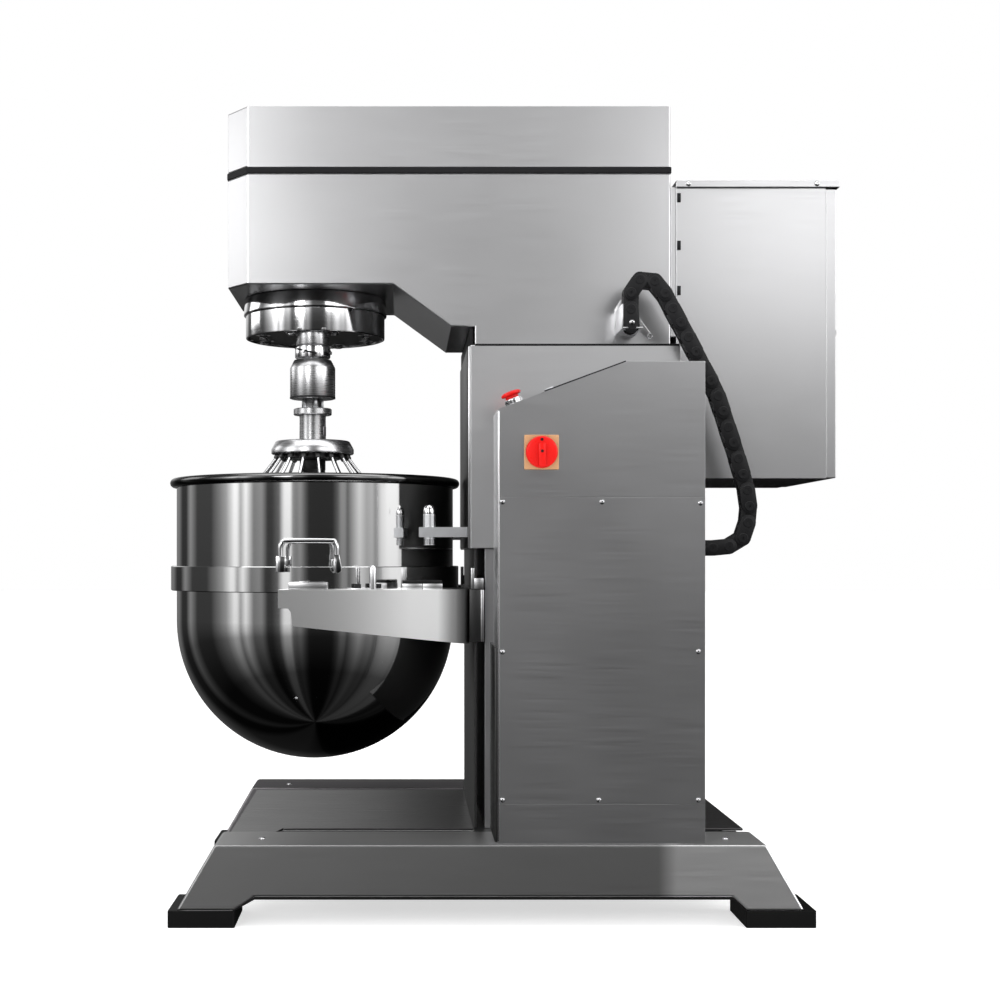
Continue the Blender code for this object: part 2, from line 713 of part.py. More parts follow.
def bowl_section():
    """The shell's section: down the outside, up the inside and round the rolled rim."""
    inside = BOWL_R - BOWL_WALL
    section = [(BOWL_R, RIM_Z - RIM_BEAD_R)]
    section += [ball_point(BOWL_R, k) for k in range(BALL_STEPS + 1)]
    section += [ball_point(inside, k) for k in range(BALL_STEPS, -1, -1)]
    section.append((inside, RIM_Z - 0.004))
    bead_r = BOWL_R + 0.0045
    for k in range(6):
        a = math.radians(200 - 280 * k / 5)
        section.append((bead_r + RIM_BEAD_R * math.cos(a), RIM_Z + RIM_BEAD_R * math.sin(a)))
    return section


def bowl():
    """A thin spun shell with a rolled rim, closed by a small flat at its foot."""
    section = bowl_section()
    foot = BALL_STEPS + 1
    bm = bmesh.new()
    rows = [[bm.verts.new((BOWL_X + r * math.cos(a), r * math.sin(a), z)) for r, z in section]
            for a in angles(BOWL_SEGMENTS)]
    for low, high in zip(rows, rows[1:] + rows[:1]):
        for i in range(len(section)):
            if i == foot:
                continue
            j = (i + 1) % len(section)
            bm.faces.new((low[i], low[j], high[j], high[i]))
    bm.faces.new([row[foot] for row in rows])
    bm.faces.new([row[foot + 1] for row in rows])
    bmesh.ops.recalc_face_normals(bm, faces=bm.faces)
    node("bowl", bm, polished(), round_piece=True)


def bowl_band():
    """The ring round the bowl, with the two lugs that stand on the fork."""
    hoop = ring((BOWL_X, 0), BOWL_R + GAP, BAND_R, *BAND_Z, BOWL_SEGMENTS)
    band = node("bowl_band", hoop, polished(), round_piece=True)
    for sign in (-1, 1):
        add(band, box(BAND_LUG_X, span(sign, 0.304, 0.352), (FORK_TOP_Z + GAP, BAND_LUG_TOP_Z)))


def bowl_handle(name, sign):
    y = sign * HANDLE_Y
    foot_y = sign * HANDLE_FOOT_Y
    reach, top = HANDLE_REACH, HANDLE_TOP_Z
    route = [(-reach, foot_y, 0.671), (-reach, foot_y, 0.690), (-reach, y, 0.708),
             (-reach, y, top - 0.012), (-reach + 0.012, y, top), (reach - 0.012, y, top),
             (reach, y, top - 0.012), (reach, y, 0.708), (reach, foot_y, 0.690),
             (reach, foot_y, 0.671)]
    points = [(HANDLE_X + x, py, z) for x, py, z in route]
    node(name, sweep(points, 8, HANDLE_BAR_R), polished(), round_piece=True)


def fork_side():
    return [(-0.4367, 0.5659), (-0.0950, FORK_LOW_Z), (-0.0950, FORK_TOP_Z),
            (FORK_FRONT_X, FORK_TOP_Z), (FORK_FRONT_X, 0.6009), (-0.446, 0.6009),
            (-0.440, 0.594)]


def fork_plan(sign):
    """Outer face drawn in towards its rounded rear corner; inner face follows the bowl's band."""
    corner = FORK_CORNER_R
    run = FORK_REAR_X - corner - FORK_FRONT_X
    lean = math.atan(2 * FORK_DRAW / run)
    run += corner * math.sin(lean)
    plan = []
    for k in range(7):
        plan.append((FORK_FRONT_X + run * k / 6, FORK_OUTER_Y - FORK_DRAW * (k / 6) ** 2))
    middle_x = FORK_REAR_X - corner
    middle_y = plan[-1][1] - corner * math.cos(lean)
    for k in range(1, 6):
        a = (math.pi / 2 - lean) * (1 - k / 5)
        plan.append((middle_x + corner * math.cos(a), middle_y + corner * math.sin(a)))
    clear = BAND_R + 0.0045
    first = math.asin(FORK_THROAT_Y / clear)
    last = math.pi - math.acos((BOWL_X - FORK_FRONT_X) / clear)
    plan.append((FORK_REAR_X, FORK_THROAT_Y))
    for k in range(11):
        a = first + (last - first) * k / 10
        plan.append((BOWL_X + clear * math.cos(a), clear * math.sin(a)))
    return [(x, sign * y) for x, y in plan]


def fork():
    """The casting that holds the bowl: two arms, a back plate, locating pins and stops."""
    z = (FORK_LOW_Z, FORK_TOP_Z)
    arms = node("bowl_fork", box((-0.0965, -0.0796), (-0.290, 0.290), z), satin())
    for sign in (-1, 1):
        arm = add(arms, prism_z(fork_plan(sign), 0.50, 0.70))
        boolean(arm, prism_y(fork_side(), -0.5, 0.5), "INTERSECT")
        add(arms, rod((PIN_PLACE[0], sign * PIN_PLACE[1]), 0.0068, FORK_TOP_Z - 0.01, 0.681, 20))
        add(arms, box((-0.224, -0.144), span(sign, 0.284, 0.321), (FORK_TOP_Z - 0.01, 0.6487)))
        lug_y = span(sign, FRONT_PLATE_HALF_WIDTH + 0.0005, 0.290)
        add(arms, box((-0.082, -0.0605), lug_y, z))


def hold_down(name, sign):
    """A bar on the sleeve with a round-nosed pin that stands over the bowl's rear."""
    bar = node(name, box((-0.190, SLEEVE_X[0] - GAP), span(sign, 0.235, 0.262),
                         (0.741, 0.761)), satin())
    add(bar, solid_turned([(0.011, 0.725), (0.011, 0.745), (0.0125, 0.755), (0.0125, 0.786),
                           (0.0095, 0.795), (0.004, 0.7996)],
                          (HOLD_DOWN_PIN[0], sign * HOLD_DOWN_PIN[1]), 24))


# ---------------------------------------------------------------- side control cabinet
def side_outline():
    return [(SIDE_X[0], RAIL_TOP_Z + GAP), (SIDE_X[1], RAIL_TOP_Z + GAP),
            (SIDE_X[1], SIDE_TOP_Z), SLOPE_HEAD, SLOPE_FOOT]


def side_cabinet():
    """A folded shell, stepped back where the service cover closes its near side."""
    shell = node("side_cabinet_shell", prism_y(side_outline(), *SIDE_Y), stainless())
    step = SIDE_Y[0] + PANEL + GAP
    cut(shell, box((-0.1, 0.4), (-0.6, step), SEAM_Z))
    cut(shell, prism_y(inset(side_outline(), 0.004), step + 0.002, SIDE_Y[1] - 0.002))
    cut(shell, box((-0.015, 0.325), (-0.6, step + 0.01), (0.245, 0.800)))
    node("service_cover", box(SIDE_X, (SIDE_Y[0], SIDE_Y[0] + PANEL),
                              (SEAM_Z[0] + GAP, SEAM_Z[1] - GAP)), stainless())


def tilt_into_y(bm):
    """Turns a piece made about +Z so that it points along -Y."""
    bmesh.ops.transform(bm, matrix=Matrix.Rotation(math.radians(90), 4, "X"), verts=bm.verts)
    return bm


def main_switch():
    x, z = SWITCH_PLACE
    face = SIDE_Y[0] - GAP
    half = SWITCH_PLATE_HALF
    node("main_switch_plate", box((x - half, x + half), (face - 0.0035, face),
                                  (z - half, z + half)), amber_plastic())
    knob_base = tilt_into_y(solid_turned([(0.0305, 0.0), (0.0305, 0.008), (0.0275, 0.0105)],
                                         (0, 0), 40))
    origin = (x, face - 0.0038, z)
    bmesh.ops.translate(knob_base, vec=Vector(origin), verts=knob_base.verts)
    knob = node("main_switch_knob", knob_base, red_plastic(), origin, round_piece=True)
    add(knob, box((x - 0.007, x + 0.007), (origin[1] - 0.020, origin[1] - 0.005),
                  (z - 0.027, z + 0.027)))


def slope_point(along, y=PANEL_Y, rise=GAP):
    x = SLOPE_FOOT[0] + along * math.cos(SLOPE) - rise * math.sin(SLOPE)
    z = SLOPE_FOOT[1] + along * math.sin(SLOPE) + rise * math.cos(SLOPE)
    return (x, y, z)


def on_slope(name, bm, mat, along, y=PANEL_Y, rise=GAP, round_piece=False):
    return node(name, bm, mat, slope_point(along, y, rise), SLOPE, round_piece)


def emergency_stop():
    on_slope("estop_collar", turned([(0.0062, 0.0), (0.0150, 0.0), (0.0150, 0.014),
                                     (0.0062, 0.014)], (0, 0), 24), black_plastic(),
             ESTOP_ALONG, round_piece=True)
    on_slope("estop_button", solid_turned([(0.006, -0.0145), (0.006, 0.0), (0.0165, 0.0),
                                           (0.0200, 0.003), (0.0200, 0.006), (0.012, 0.009)],
                                          (0, 0), 32), red_plastic(), ESTOP_ALONG,
             rise=0.020, round_piece=True)


def control_panel():
    """A sealed plate on the slope with a start button, a lift rocker and a speed knob."""
    thick = 0.0012
    on_slope("control_panel", box((-0.075, 0.075), (-0.055, 0.055), (0, thick)),
             black_plastic(), PANEL_ALONG)
    rise = thick + 3 * GAP
    button = [(0.009, 0.0), (0.009, 0.0025), (0.008, 0.0032)]
    on_slope("start_button", solid_turned(button, (0, 0), 24), satin(), START_ALONG, -0.390,
             rise + 0.0012, round_piece=True)
    rocker = prism_y([(-0.015, 0.0016), (0, 0.0), (0.015, 0.0016), (0.015, 0.0034),
                      (0, 0.0030), (-0.015, 0.0034)], -0.008, 0.008)
    on_slope("lift_rocker", rocker, satin(), ROCKER_ALONG, -0.325, rise)
    knob = [(0.014, 0.0), (0.013, 0.004), (0.011, 0.0048)]
    on_slope("speed_knob", solid_turned(knob, (0, 0), 32), black_plastic(), SPEED_ALONG,
             rise=rise, round_piece=True)


# ---------------------------------------------------------------- rear cabinet on the head
def rear_cabinet():
    half = HEAD_HALF_WIDTH
    node("head_rear_frame", box((HEAD_REAR_X + GAP, REAR_X[0] - GAP), (-0.2085, 0.2085),
                                (1.150, 1.455)), stainless())
    shell = node("rear_cabinet_shell", box(REAR_X, (-half, half), REAR_Z), stainless())
    cut(shell, box((REAR_X[0] + 0.002, 0.8), (0.002 - half, half - 0.002),
                   (REAR_Z[0] + 0.002, REAR_Z[1] - 0.002)))
    cap = node("rear_cabinet_cap", box((REAR_X[0], 0.6665), (-half - 0.0065, half + 0.0065),
                                       CAP_Z), stainless())
    cut(cap, box((0.2, 0.6640), (-half - 0.004, half + 0.004), (1.4, REAR_Z[1] + GAP)))


def rear_door():
    half = HEAD_HALF_WIDTH
    hinge_pin = (0.6500, half + 0.0033)
    z = (REAR_Z[0] + 0.002, CAP_Z[0] - 0.002)
    door = node("rear_cabinet_door", box(DOOR_X, (-half, half), z), stainless(),
                (*hinge_pin, z[0]))
    cut(door, box((0.4, DOOR_X[1] - 0.002), (0.012 - half, half - 0.012),
                  (z[0] + 0.012, z[1] - 0.012)))
    latch = solid_turned([(0.012, 0.0), (0.012, 0.003), (0.010, 0.0045)], (0, 0), 24)
    bmesh.ops.transform(latch, matrix=Matrix.Rotation(math.radians(90), 4, "Y"),
                        verts=latch.verts)
    place = (DOOR_X[1] + GAP, -0.185, 1.160)
    bmesh.ops.translate(latch, vec=Vector(place), verts=latch.verts)
    node("door_latch", latch, black_plastic(), place, round_piece=True)


def inverter():
    node("inverter", box((0.3370, 0.495), (-0.110, 0.110), (1.000, 1.320)), motor_gray())


# ---------------------------------------------------------------- cable carrier
def cable_carrier():
    """The chain of links that carries the leads from the fixed cabinet to the head."""
    route = smooth_path([(x, CARRIER_Y, z) for x, z in CARRIER_ROUTE], 2)
    half_wide, half_deep = CARRIER_HALF
    section = [(-half_wide, -half_deep), (half_wide, -half_deep), (half_wide, half_deep),
               (-half_wide, half_deep)]
    node("cable_carrier", sweep(route, 4, section=section), black_plastic())
    node("carrier_bracket_head", box((0.208, 0.252), (-0.318, -HEAD_HALF_WIDTH - GAP),
                                     (1.1515, 1.1560)), stainless())
    node("carrier_bracket_cabinet", box((SIDE_X[1] + GAP, 0.356), (-0.318, -0.287),
                                        (0.695, 0.743)), stainless())


# ---------------------------------------------------------------- assembly
def build():
    clear_scene()
    make_datum()
    both_sides("base_rail", base_rail)
    base_feet()
    base_pan()
    mast()
    column_cover()
    lift_carriage()
    lift_drive()
    head_shell()
    head_gasket()
    head_lid()
    column_sleeve()
    ring_gear()
    planet_pinion()
    main_drive()
    motor()
    drive_belt()
    planet_drum()
    tool_shaft()
    whisk()
    bowl()
    bowl_band()
    both_sides("bowl_handle", bowl_handle)
    fork()
    both_sides("hold_down", hold_down)
    side_cabinet()
    main_switch()
    emergency_stop()
    control_panel()
    rear_cabinet()
    rear_door()
    inverter()
    cable_carrier()


build()
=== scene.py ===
import json
import math

import bmesh
import bpy
from mathutils import Matrix, Vector


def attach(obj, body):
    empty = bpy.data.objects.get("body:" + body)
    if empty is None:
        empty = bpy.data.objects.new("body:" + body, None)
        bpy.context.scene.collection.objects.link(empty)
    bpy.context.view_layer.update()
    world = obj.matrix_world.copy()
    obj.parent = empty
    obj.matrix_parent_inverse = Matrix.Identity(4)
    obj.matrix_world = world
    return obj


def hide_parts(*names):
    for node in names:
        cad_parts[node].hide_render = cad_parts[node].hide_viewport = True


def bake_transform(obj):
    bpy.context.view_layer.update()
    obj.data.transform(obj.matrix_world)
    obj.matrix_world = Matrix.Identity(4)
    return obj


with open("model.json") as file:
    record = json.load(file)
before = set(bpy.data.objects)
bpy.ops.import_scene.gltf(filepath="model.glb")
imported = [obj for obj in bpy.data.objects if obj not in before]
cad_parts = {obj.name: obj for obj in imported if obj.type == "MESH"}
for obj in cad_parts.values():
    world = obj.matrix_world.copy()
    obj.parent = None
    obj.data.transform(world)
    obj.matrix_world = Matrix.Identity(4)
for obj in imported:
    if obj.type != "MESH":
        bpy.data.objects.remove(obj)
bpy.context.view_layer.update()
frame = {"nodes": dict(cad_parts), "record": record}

# Main lines of the machine, in metres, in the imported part's frame
MAIN_AXIS = (-0.383, 0.0)
TOOL_AXIS = (-0.383, -0.105)
BOWL_R = 0.298
BOWL_WALL = 0.003
BALL_Z = 0.566
RIM_Z = 0.859
BEAD_R = 0.0095
BAND_R = 0.310
BAND_Z = (0.630, 0.682)
FORK_TOP = 0.637
FORK_X = (-0.436, -0.0610)
FORK_OUTER_Y = 0.360
FORK_STEP_X = (-0.4171, -0.4112, -0.4078)
FORK_ARM_X = -0.395
FORK_DRAW = 0.034
FORK_CORNER_R = 0.055
FORK_THROAT_Y = 0.120
FORK_CLEAR_R = 0.3145
FORK_LUG_Y = (0.2655, 0.2895)
RAIL_TOP = 0.157
SIDE_Y = -0.430
SLOPE_FOOT = (-0.0126, 0.982)
SLOPE_HEAD = (0.234, 1.073)
SLOPE = math.atan2(SLOPE_HEAD[1] - SLOPE_FOOT[1], SLOPE_HEAD[0] - SLOPE_FOOT[0])
REAR_X = (0.3635, 0.669)
CAGE_R = 0.180
WHISK_LOW = 0.307
WIRE_R = 0.0037
LOOPS = 8
KEY_TURN = 0.35
COUPLING_BORE_R = 0.0204
SIDES = (("near", -1), ("far", 1))
DOWN = (0, 0, -1)
NEAR = (0, -1, 0)
UP = (0, 0, 1)
CARRIER_Y = -0.300
CARRIER_PITCH = 0.033
CARRIER_HALF = 0.0155
CARRIER_WIDTH = 0.0305
CARRIER_END_SHARE = 0.03
BRACKET_Y = -0.2106
BRACKET_T = 0.0030
CARRIER_ROUTE = (
    (0.2587, 1.1580), (0.2564, 1.2101), (0.2626, 1.2378), (0.2884, 1.2537), (0.3141, 1.2359),
    (0.3320, 1.2061), (0.3478, 1.1764), (0.3795, 1.1170), (0.4030, 1.0700), (0.4251, 1.0279),
    (0.4468, 0.9635), (0.4706, 0.8892), (0.4884, 0.8238), (0.4904, 0.7941), (0.4865, 0.7634),
    (0.4746, 0.7347), (0.4409, 0.7188), (0.4191, 0.7188), (0.3860, 0.7188))


# ---- materials
NOISE_ROUGHNESS = 0.55
NOISE_SPAN = (0.3, 0.7)
SMUDGE_SCALE = 3.1
SMUDGE_DETAIL = 2.0
SMUDGE_SHARE = 0.25
COAT_ROUGHNESS = 0.12


def shader(name):
    mat = bpy.data.materials.new(name)
    mat.use_nodes = True
    return mat, mat.node_tree.nodes, mat.node_tree.links, mat.node_tree.nodes["Principled BSDF"]


def put(node, values):
    """Sets a node's own sockets by name."""
    for name, value in values.items():
        node.inputs[name].default_value = value


def noise(nodes, links, scale, stretch, detail=3.0):
    """A noise texture in object coordinates, drawn out along the smallest number of stretch."""
    coord = nodes.new("ShaderNodeTexCoord")
    mapping = nodes.new("ShaderNodeMapping")
    put(mapping, {"Scale": stretch})
    tex = nodes.new("ShaderNodeTexNoise")
    put(tex, {"Scale": scale, "Detail": detail, "Roughness": NOISE_ROUGHNESS})
    links.new(coord.outputs["Object"], mapping.inputs["Vector"])
    links.new(mapping.outputs["Vector"], tex.inputs["Vector"])
    return tex.outputs["Fac"]


def spread(nodes, links, value, low, high):
    """Maps a noise onto low to high."""
    node = nodes.new("ShaderNodeMapRange")
    start, stop = NOISE_SPAN
    put(node, {"From Min": start, "From Max": stop, "To Min": low, "To Max": high})
    links.new(value, node.inputs["Value"])
    return node.outputs["Result"]


def two_tone(nodes, links, factor, first, second):
    """Turns a noise into a colour from first to second."""
    ramp = nodes.new("ShaderNodeValToRGB")
    for stop, at, color in zip(ramp.color_ramp.elements, NOISE_SPAN, (first, second)):
        stop.position = at
        stop.color = (*color, 1)
    links.new(factor, ramp.inputs["Fac"])
    return ramp.outputs["Color"]


def curve_of(nodes, links, value, tones):
    """Turns value into a brightness by tones, which pairs rising values with brightnesses."""
    low, high = tones[0][0], tones[-1][0]
    scaled = nodes.new("ShaderNodeMapRange")
    put(scaled, {"From Min": low, "From Max": high})
    links.new(value, scaled.inputs["Value"])
    ramp = nodes.new("ShaderNodeValToRGB")
    stops = ramp.color_ramp.elements
    for at, _ in tones[1:-1]:
        stops.new((at - low) / (high - low))
    for stop, (_, tone) in zip(stops, tones):
        stop.color = (tone, tone, tone, 1)
    links.new(scaled.outputs["Result"], ramp.inputs["Fac"])
    return ramp.outputs["Color"]


def bump(nodes, links, bsdf, height, strength, distance):
    node = nodes.new("ShaderNodeBump")
    put(node, {"Strength": strength, "Distance": distance})
    links.new(height, node.inputs["Height"])
    links.new(node.outputs["Normal"], bsdf.inputs["Normal"])


def finish_of(name, color, roughness, metallic, grain, grain_scale, wear=0.10, vary=0.05,
              relief=0.05, depth=0.0003, coat=0.0, gloss=0.5, edge_tint=1.0):
    """One procedural finish: a base tone with faint smudges, grain in the roughness and relief."""
    mat, nodes, links, bsdf = shader(name)
    put(bsdf, {"Metallic": metallic, "Specular IOR Level": gloss,
               "Specular Tint": (edge_tint, edge_tint, edge_tint, 1.0)})
    if coat:
        put(bsdf, {"Coat Weight": coat, "Coat Roughness": COAT_ROUGHNESS})
    fine = noise(nodes, links, grain_scale, grain)
    broad = noise(nodes, links, SMUDGE_SCALE, (1.0, 1.0, 1.0), SMUDGE_DETAIL)
    dark = tuple(c * (1 - vary) for c in color)
    light = tuple(min(1.0, c * (1 + vary)) for c in color)
    links.new(two_tone(nodes, links, broad, dark, light), bsdf.inputs["Base Color"])
    mixed = nodes.new("ShaderNodeMath")
    mixed.operation = "ADD"
    smudge = SMUDGE_SHARE * wear * roughness
    links.new(spread(nodes, links, fine, roughness * (1 - wear), roughness * (1 + wear)),
              mixed.inputs[0])
    links.new(spread(nodes, links, broad, -smudge, smudge), mixed.inputs[1])
    links.new(mixed.outputs["Value"], bsdf.inputs["Roughness"])
    bump(nodes, links, bsdf, fine, relief, depth)
    return mat


def steel_with_painted_light(name, tones, roughness, grain, grain_scale, relief):
    """A steel whose base tone follows tones along X, the machine's length: painted highlight and
    painted shade along it.
    """
    mat, nodes, links, bsdf = shader(name)
    put(bsdf, {"Metallic": 1.0})
    place = nodes.new("ShaderNodeNewGeometry")
    split = nodes.new("ShaderNodeSeparateXYZ")
    links.new(place.outputs["Position"], split.inputs["Vector"])
    links.new(curve_of(nodes, links, split.outputs["X"], tones), bsdf.inputs["Base Color"])
    fine = noise(nodes, links, grain_scale, grain)
    links.new(spread(nodes, links, fine, 0.9 * roughness, 1.1 * roughness),
              bsdf.inputs["Roughness"])
    bump(nodes, links, bsdf, fine, relief, 0.0003)
    return mat


# How each kind of grain is drawn out, as noise scales along X, Y and Z
ALONG_X = (7.0, 900.0, 900.0)
ROUND_Z = (6.0, 6.0, 700.0)
UP_Z = (800.0, 800.0, 8.0)
EVEN = (60.0, 60.0, 60.0)


def brushed(name, tone, blue, grain):
    return finish_of(name, (tone, tone, blue), 0.33, 1.0, grain, 1.0, wear=0.12, vary=0.03,
                     relief=0.02)


BRUSHED = brushed("brushed_stainless", 0.72, 0.73, ALONG_X)
# A darker copy of the same brushed stainless for the side cabinet and its cover: painted shade.
BRUSHED_SHADED = brushed("brushed_stainless_shaded", 0.62, 0.63, ALONG_X)
BRUSHED_UP = brushed("brushed_stainless_vertical", 0.72, 0.73, UP_Z)
POLISHED = finish_of("polished_stainless", (0.70, 0.70, 0.70), 0.07, 1.0, ROUND_Z, 1.0,
                     wear=0.30, vary=0.03, relief=0.010, depth=0.0001)
CHROME = finish_of("turned_chrome", (0.78, 0.78, 0.79), 0.10, 1.0, ROUND_Z, 1.0, wear=0.30,
                   vary=0.02, relief=0.02, depth=0.0001)
# The rim is stainless; its dark base tone is a painted dark reflection.
RIM = finish_of("rolled_rim_painted_dark", (0.16, 0.16, 0.16), 0.12, 1.0, ROUND_Z, 1.0, wear=0.30, vary=0.03,
                relief=0.02, depth=0.0001, edge_tint=0.5)
TURNED = finish_of("turned_stainless", (0.62, 0.62, 0.63), 0.27, 1.0, ROUND_Z, 1.0, wear=0.15,
                   vary=0.02, relief=0.03, depth=0.0002)
SATIN = finish_of("satin_stainless", (0.84, 0.85, 0.87), 0.40, 1.0, EVEN, 6.0, wear=0.15,
                  vary=0.03, relief=0.06)
MACHINED = finish_of("machined_steel", (0.46, 0.47, 0.48), 0.30, 1.0, ROUND_Z, 1.0, wear=0.25,
                     relief=0.05)
RAIL_STEEL = finish_of("dark_base_steel", (0.27, 0.26, 0.27), 0.40, 0.85, ALONG_X, 1.0, wear=0.15,
                       vary=0.05, relief=0.04, edge_tint=0.15)
# The base pan is stainless; its near-black, non-metal finish is painted shade standing in for its
# dark reflection.
PAN_PAINTED_DARK = finish_of("base_plate_painted_dark", (0.035, 0.034, 0.035), 0.30, 0.0, ALONG_X, 1.0, wear=0.15,
                      vary=0.08, relief=0.05, gloss=0.9)
DARK_STEEL = finish_of("dark_steel", (0.30, 0.29, 0.30), 0.42, 0.85, ALONG_X, 1.0, wear=0.15,
                       vary=0.05, relief=0.04)
# Dark steel for the column plate and mast; the fork lugs, the cabinet gap and the sleeve's front wear
# it as painted shade and painted reflection.
DARK_PLATE_AND_SHADE = finish_of("dark_column_steel_and_painted_shade", (0.07, 0.07, 0.07), 0.40, 0.85, UP_Z, 1.0, wear=0.2,
                       relief=0.04)
# Black rubber; the strip down in the drain slot wears it as painted shadow.
RUBBER_AND_SHADE = finish_of("black_rubber", (0.004, 0.004, 0.004), 0.55, 0.0, EVEN, 9.0, wear=0.15,
                   vary=0.2, relief=0.15, gloss=0.15)
# Seal rubber for the gaskets; the strip under the head wears it as painted shadow.
SEAL_AND_SHADE = finish_of("seal_rubber_and_painted_shadow", (0.006, 0.006, 0.007), 0.60, 0.0, EVEN, 9.0, wear=0.15, vary=0.2,
                 relief=0.12, gloss=0.25)
BLACK = finish_of("black_plastic", (0.006, 0.006, 0.007), 0.45, 0.0, EVEN, 9.0, wear=0.2,
                  vary=0.15, relief=0.10, gloss=0.30)
RED = finish_of("red_plastic", (0.70, 0.006, 0.004), 0.32, 0.0, EVEN, 5.0, wear=0.2, vary=0.05,
                relief=0.04, gloss=0.25)
AMBER = finish_of("amber_plastic", (0.54, 0.30, 0.15), 0.34, 0.0, EVEN, 5.0, wear=0.2, vary=0.05,
                  relief=0.04)
BRONZE = finish_of("bronze", (0.55, 0.36, 0.16), 0.35, 1.0, ROUND_Z, 1.0, wear=0.2)
MOTOR = finish_of("motor_paint", (0.20, 0.22, 0.24), 0.45, 0.0, EVEN, 7.0, wear=0.15, relief=0.12,
                  coat=0.2)
BOLT = finish_of("fastener_steel", (0.66, 0.66, 0.67), 0.16, 1.0, EVEN, 6.0, wear=0.2, vary=0.04,
                 relief=0.04)

# Base tone by X in metres: these two surfaces brighten and darken along their length as painted
# reflection, with a painted highlight on the fork's middle and on the near rail's rear heel, and
# painted shade at the fork's rear.
FORK_PAINTED_LIGHT_TONES = (
    (-0.436, 0.50), (-0.26, 0.85), (-0.18, 1.00), (-0.125, 1.00), (-0.100, 0.45), (-0.085, 0.14),
    (-0.061, 0.06))
RAIL_PAINTED_LIGHT_TONES = (
    (-0.65, 0.43), (-0.30, 0.41), (0.05, 0.38), (0.29, 0.38), (0.325, 1.00), (0.57, 1.00))
FORK_SATIN_PAINTED_LIGHT = steel_with_painted_light("satin_fork_painted_light", FORK_PAINTED_LIGHT_TONES, 0.40, EVEN, 6.0, 0.06)
NEAR_RAIL_PAINTED_LIGHT = steel_with_painted_light("dark_base_steel_near_painted_light", RAIL_PAINTED_LIGHT_TONES, 0.40, ALONG_X, 1.0, 0.04)

SLOT_FINISH = {
    "brushed_stainless": BRUSHED, "polished_stainless": POLISHED, "satin_casting": SATIN,
    "machined_steel": MACHINED, "base_gray": RAIL_STEEL, "black_rubber": RUBBER_AND_SHADE,
    "black_plastic": BLACK, "red_plastic": RED, "amber_plastic": AMBER, "bronze": BRONZE,
    "motor_gray": MOTOR}
NODE_FINISH = {
    "base_rail_near": NEAR_RAIL_PAINTED_LIGHT, "base_pan": PAN_PAINTED_DARK, "column_front_plate": DARK_PLATE_AND_SHADE,
    "column_cover": BRUSHED_UP, "side_cabinet_shell": BRUSHED_SHADED,
    "service_cover": BRUSHED_SHADED, "head_gasket": SEAL_AND_SHADE, "mast": DARK_PLATE_AND_SHADE,
    "planet_drum": CHROME}
FEET = ("foot_front_near", "foot_front_far", "foot_rear_near", "foot_rear_far")
SHEET_METAL = FEET + (
    "head_shell", "head_lid", "column_sleeve", "column_cover", "column_front_plate",
    "side_cabinet_shell", "service_cover", "rear_cabinet_shell", "rear_cabinet_cap",
    "rear_cabinet_door", "base_rail_near", "base_rail_far", "base_pan", "head_gasket",
    "head_rear_frame", "main_switch_plate", "control_panel")
USUAL_BEVEL = 0.0016
BEVELS = {"head_shell": 0.003, "head_lid": 0.004, "base_rail_near": 0.0065,
          "base_rail_far": 0.0065, "service_cover": 0.0003, "side_cabinet_shell": 0.0005}
BEVELS.update(dict.fromkeys(FEET, 0.004))
WELD_GAP = 0.00005

# CAD nodes whose names start so are hidden from mirror reflections, to keep the bowl dark
UNMIRRORED = ("base_", "foot_", "side_cabinet", "service_")


def finish_cad():
    """Gives every carried-over node its finish, and the folded panels a small edge radius."""
    slots = {s["node"]: s["material_slot"] for s in frame["record"]["subparts"]}
    for name, obj in frame["nodes"].items():
        mat = NODE_FINISH.get(name, SLOT_FINISH[slots[name]])
        for slot in obj.material_slots:
            slot.material = mat
        if name.startswith(UNMIRRORED):
            obj.visible_glossy = False
        if name in SHEET_METAL:
            weld = obj.modifiers.new("Weld", "WELD")
            weld.merge_threshold = WELD_GAP
            round_edges(obj, BEVELS.get(name, USUAL_BEVEL))


# ---- mesh making
def round_edges(obj, width, angle=25.0):
    """Rounds an object's edges where its faces meet at more than angle."""
    bevel = obj.modifiers.new("Edge radius", "BEVEL")
    bevel.width = width
    bevel.segments = 3
    bevel.limit_method = "ANGLE"
    bevel.angle_limit = math.radians(angle)
    bevel.harden_normals = True
    bevel.use_clamp_overlap = True


def in_scene(obj):
    bpy.context.scene.collection.objects.link(obj)
    return obj


def piece(name, bm, mat, body, stands_for=(), smooth=40.0):
    """Makes bm into a shown piece; body is None for one that is left attached to no body."""
    bmesh.ops.recalc_face_normals(bm, faces=bm.faces)
    mesh = bpy.data.meshes.new(name)
    limit = math.radians(smooth)
    for face in bm.faces:
        face.smooth = True
    for edge in bm.edges:
        sharp = len(edge.link_faces) != 2 or edge.calc_face_angle(0.0) > limit
        edge.smooth = not sharp
    bm.to_mesh(mesh)
    bm.free()
    mesh.materials.append(mat)
    obj = in_scene(bpy.data.objects.new(name, mesh))
    if body is not None:
        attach(obj, body)
    if stands_for:
        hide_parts(*stands_for)
    return obj


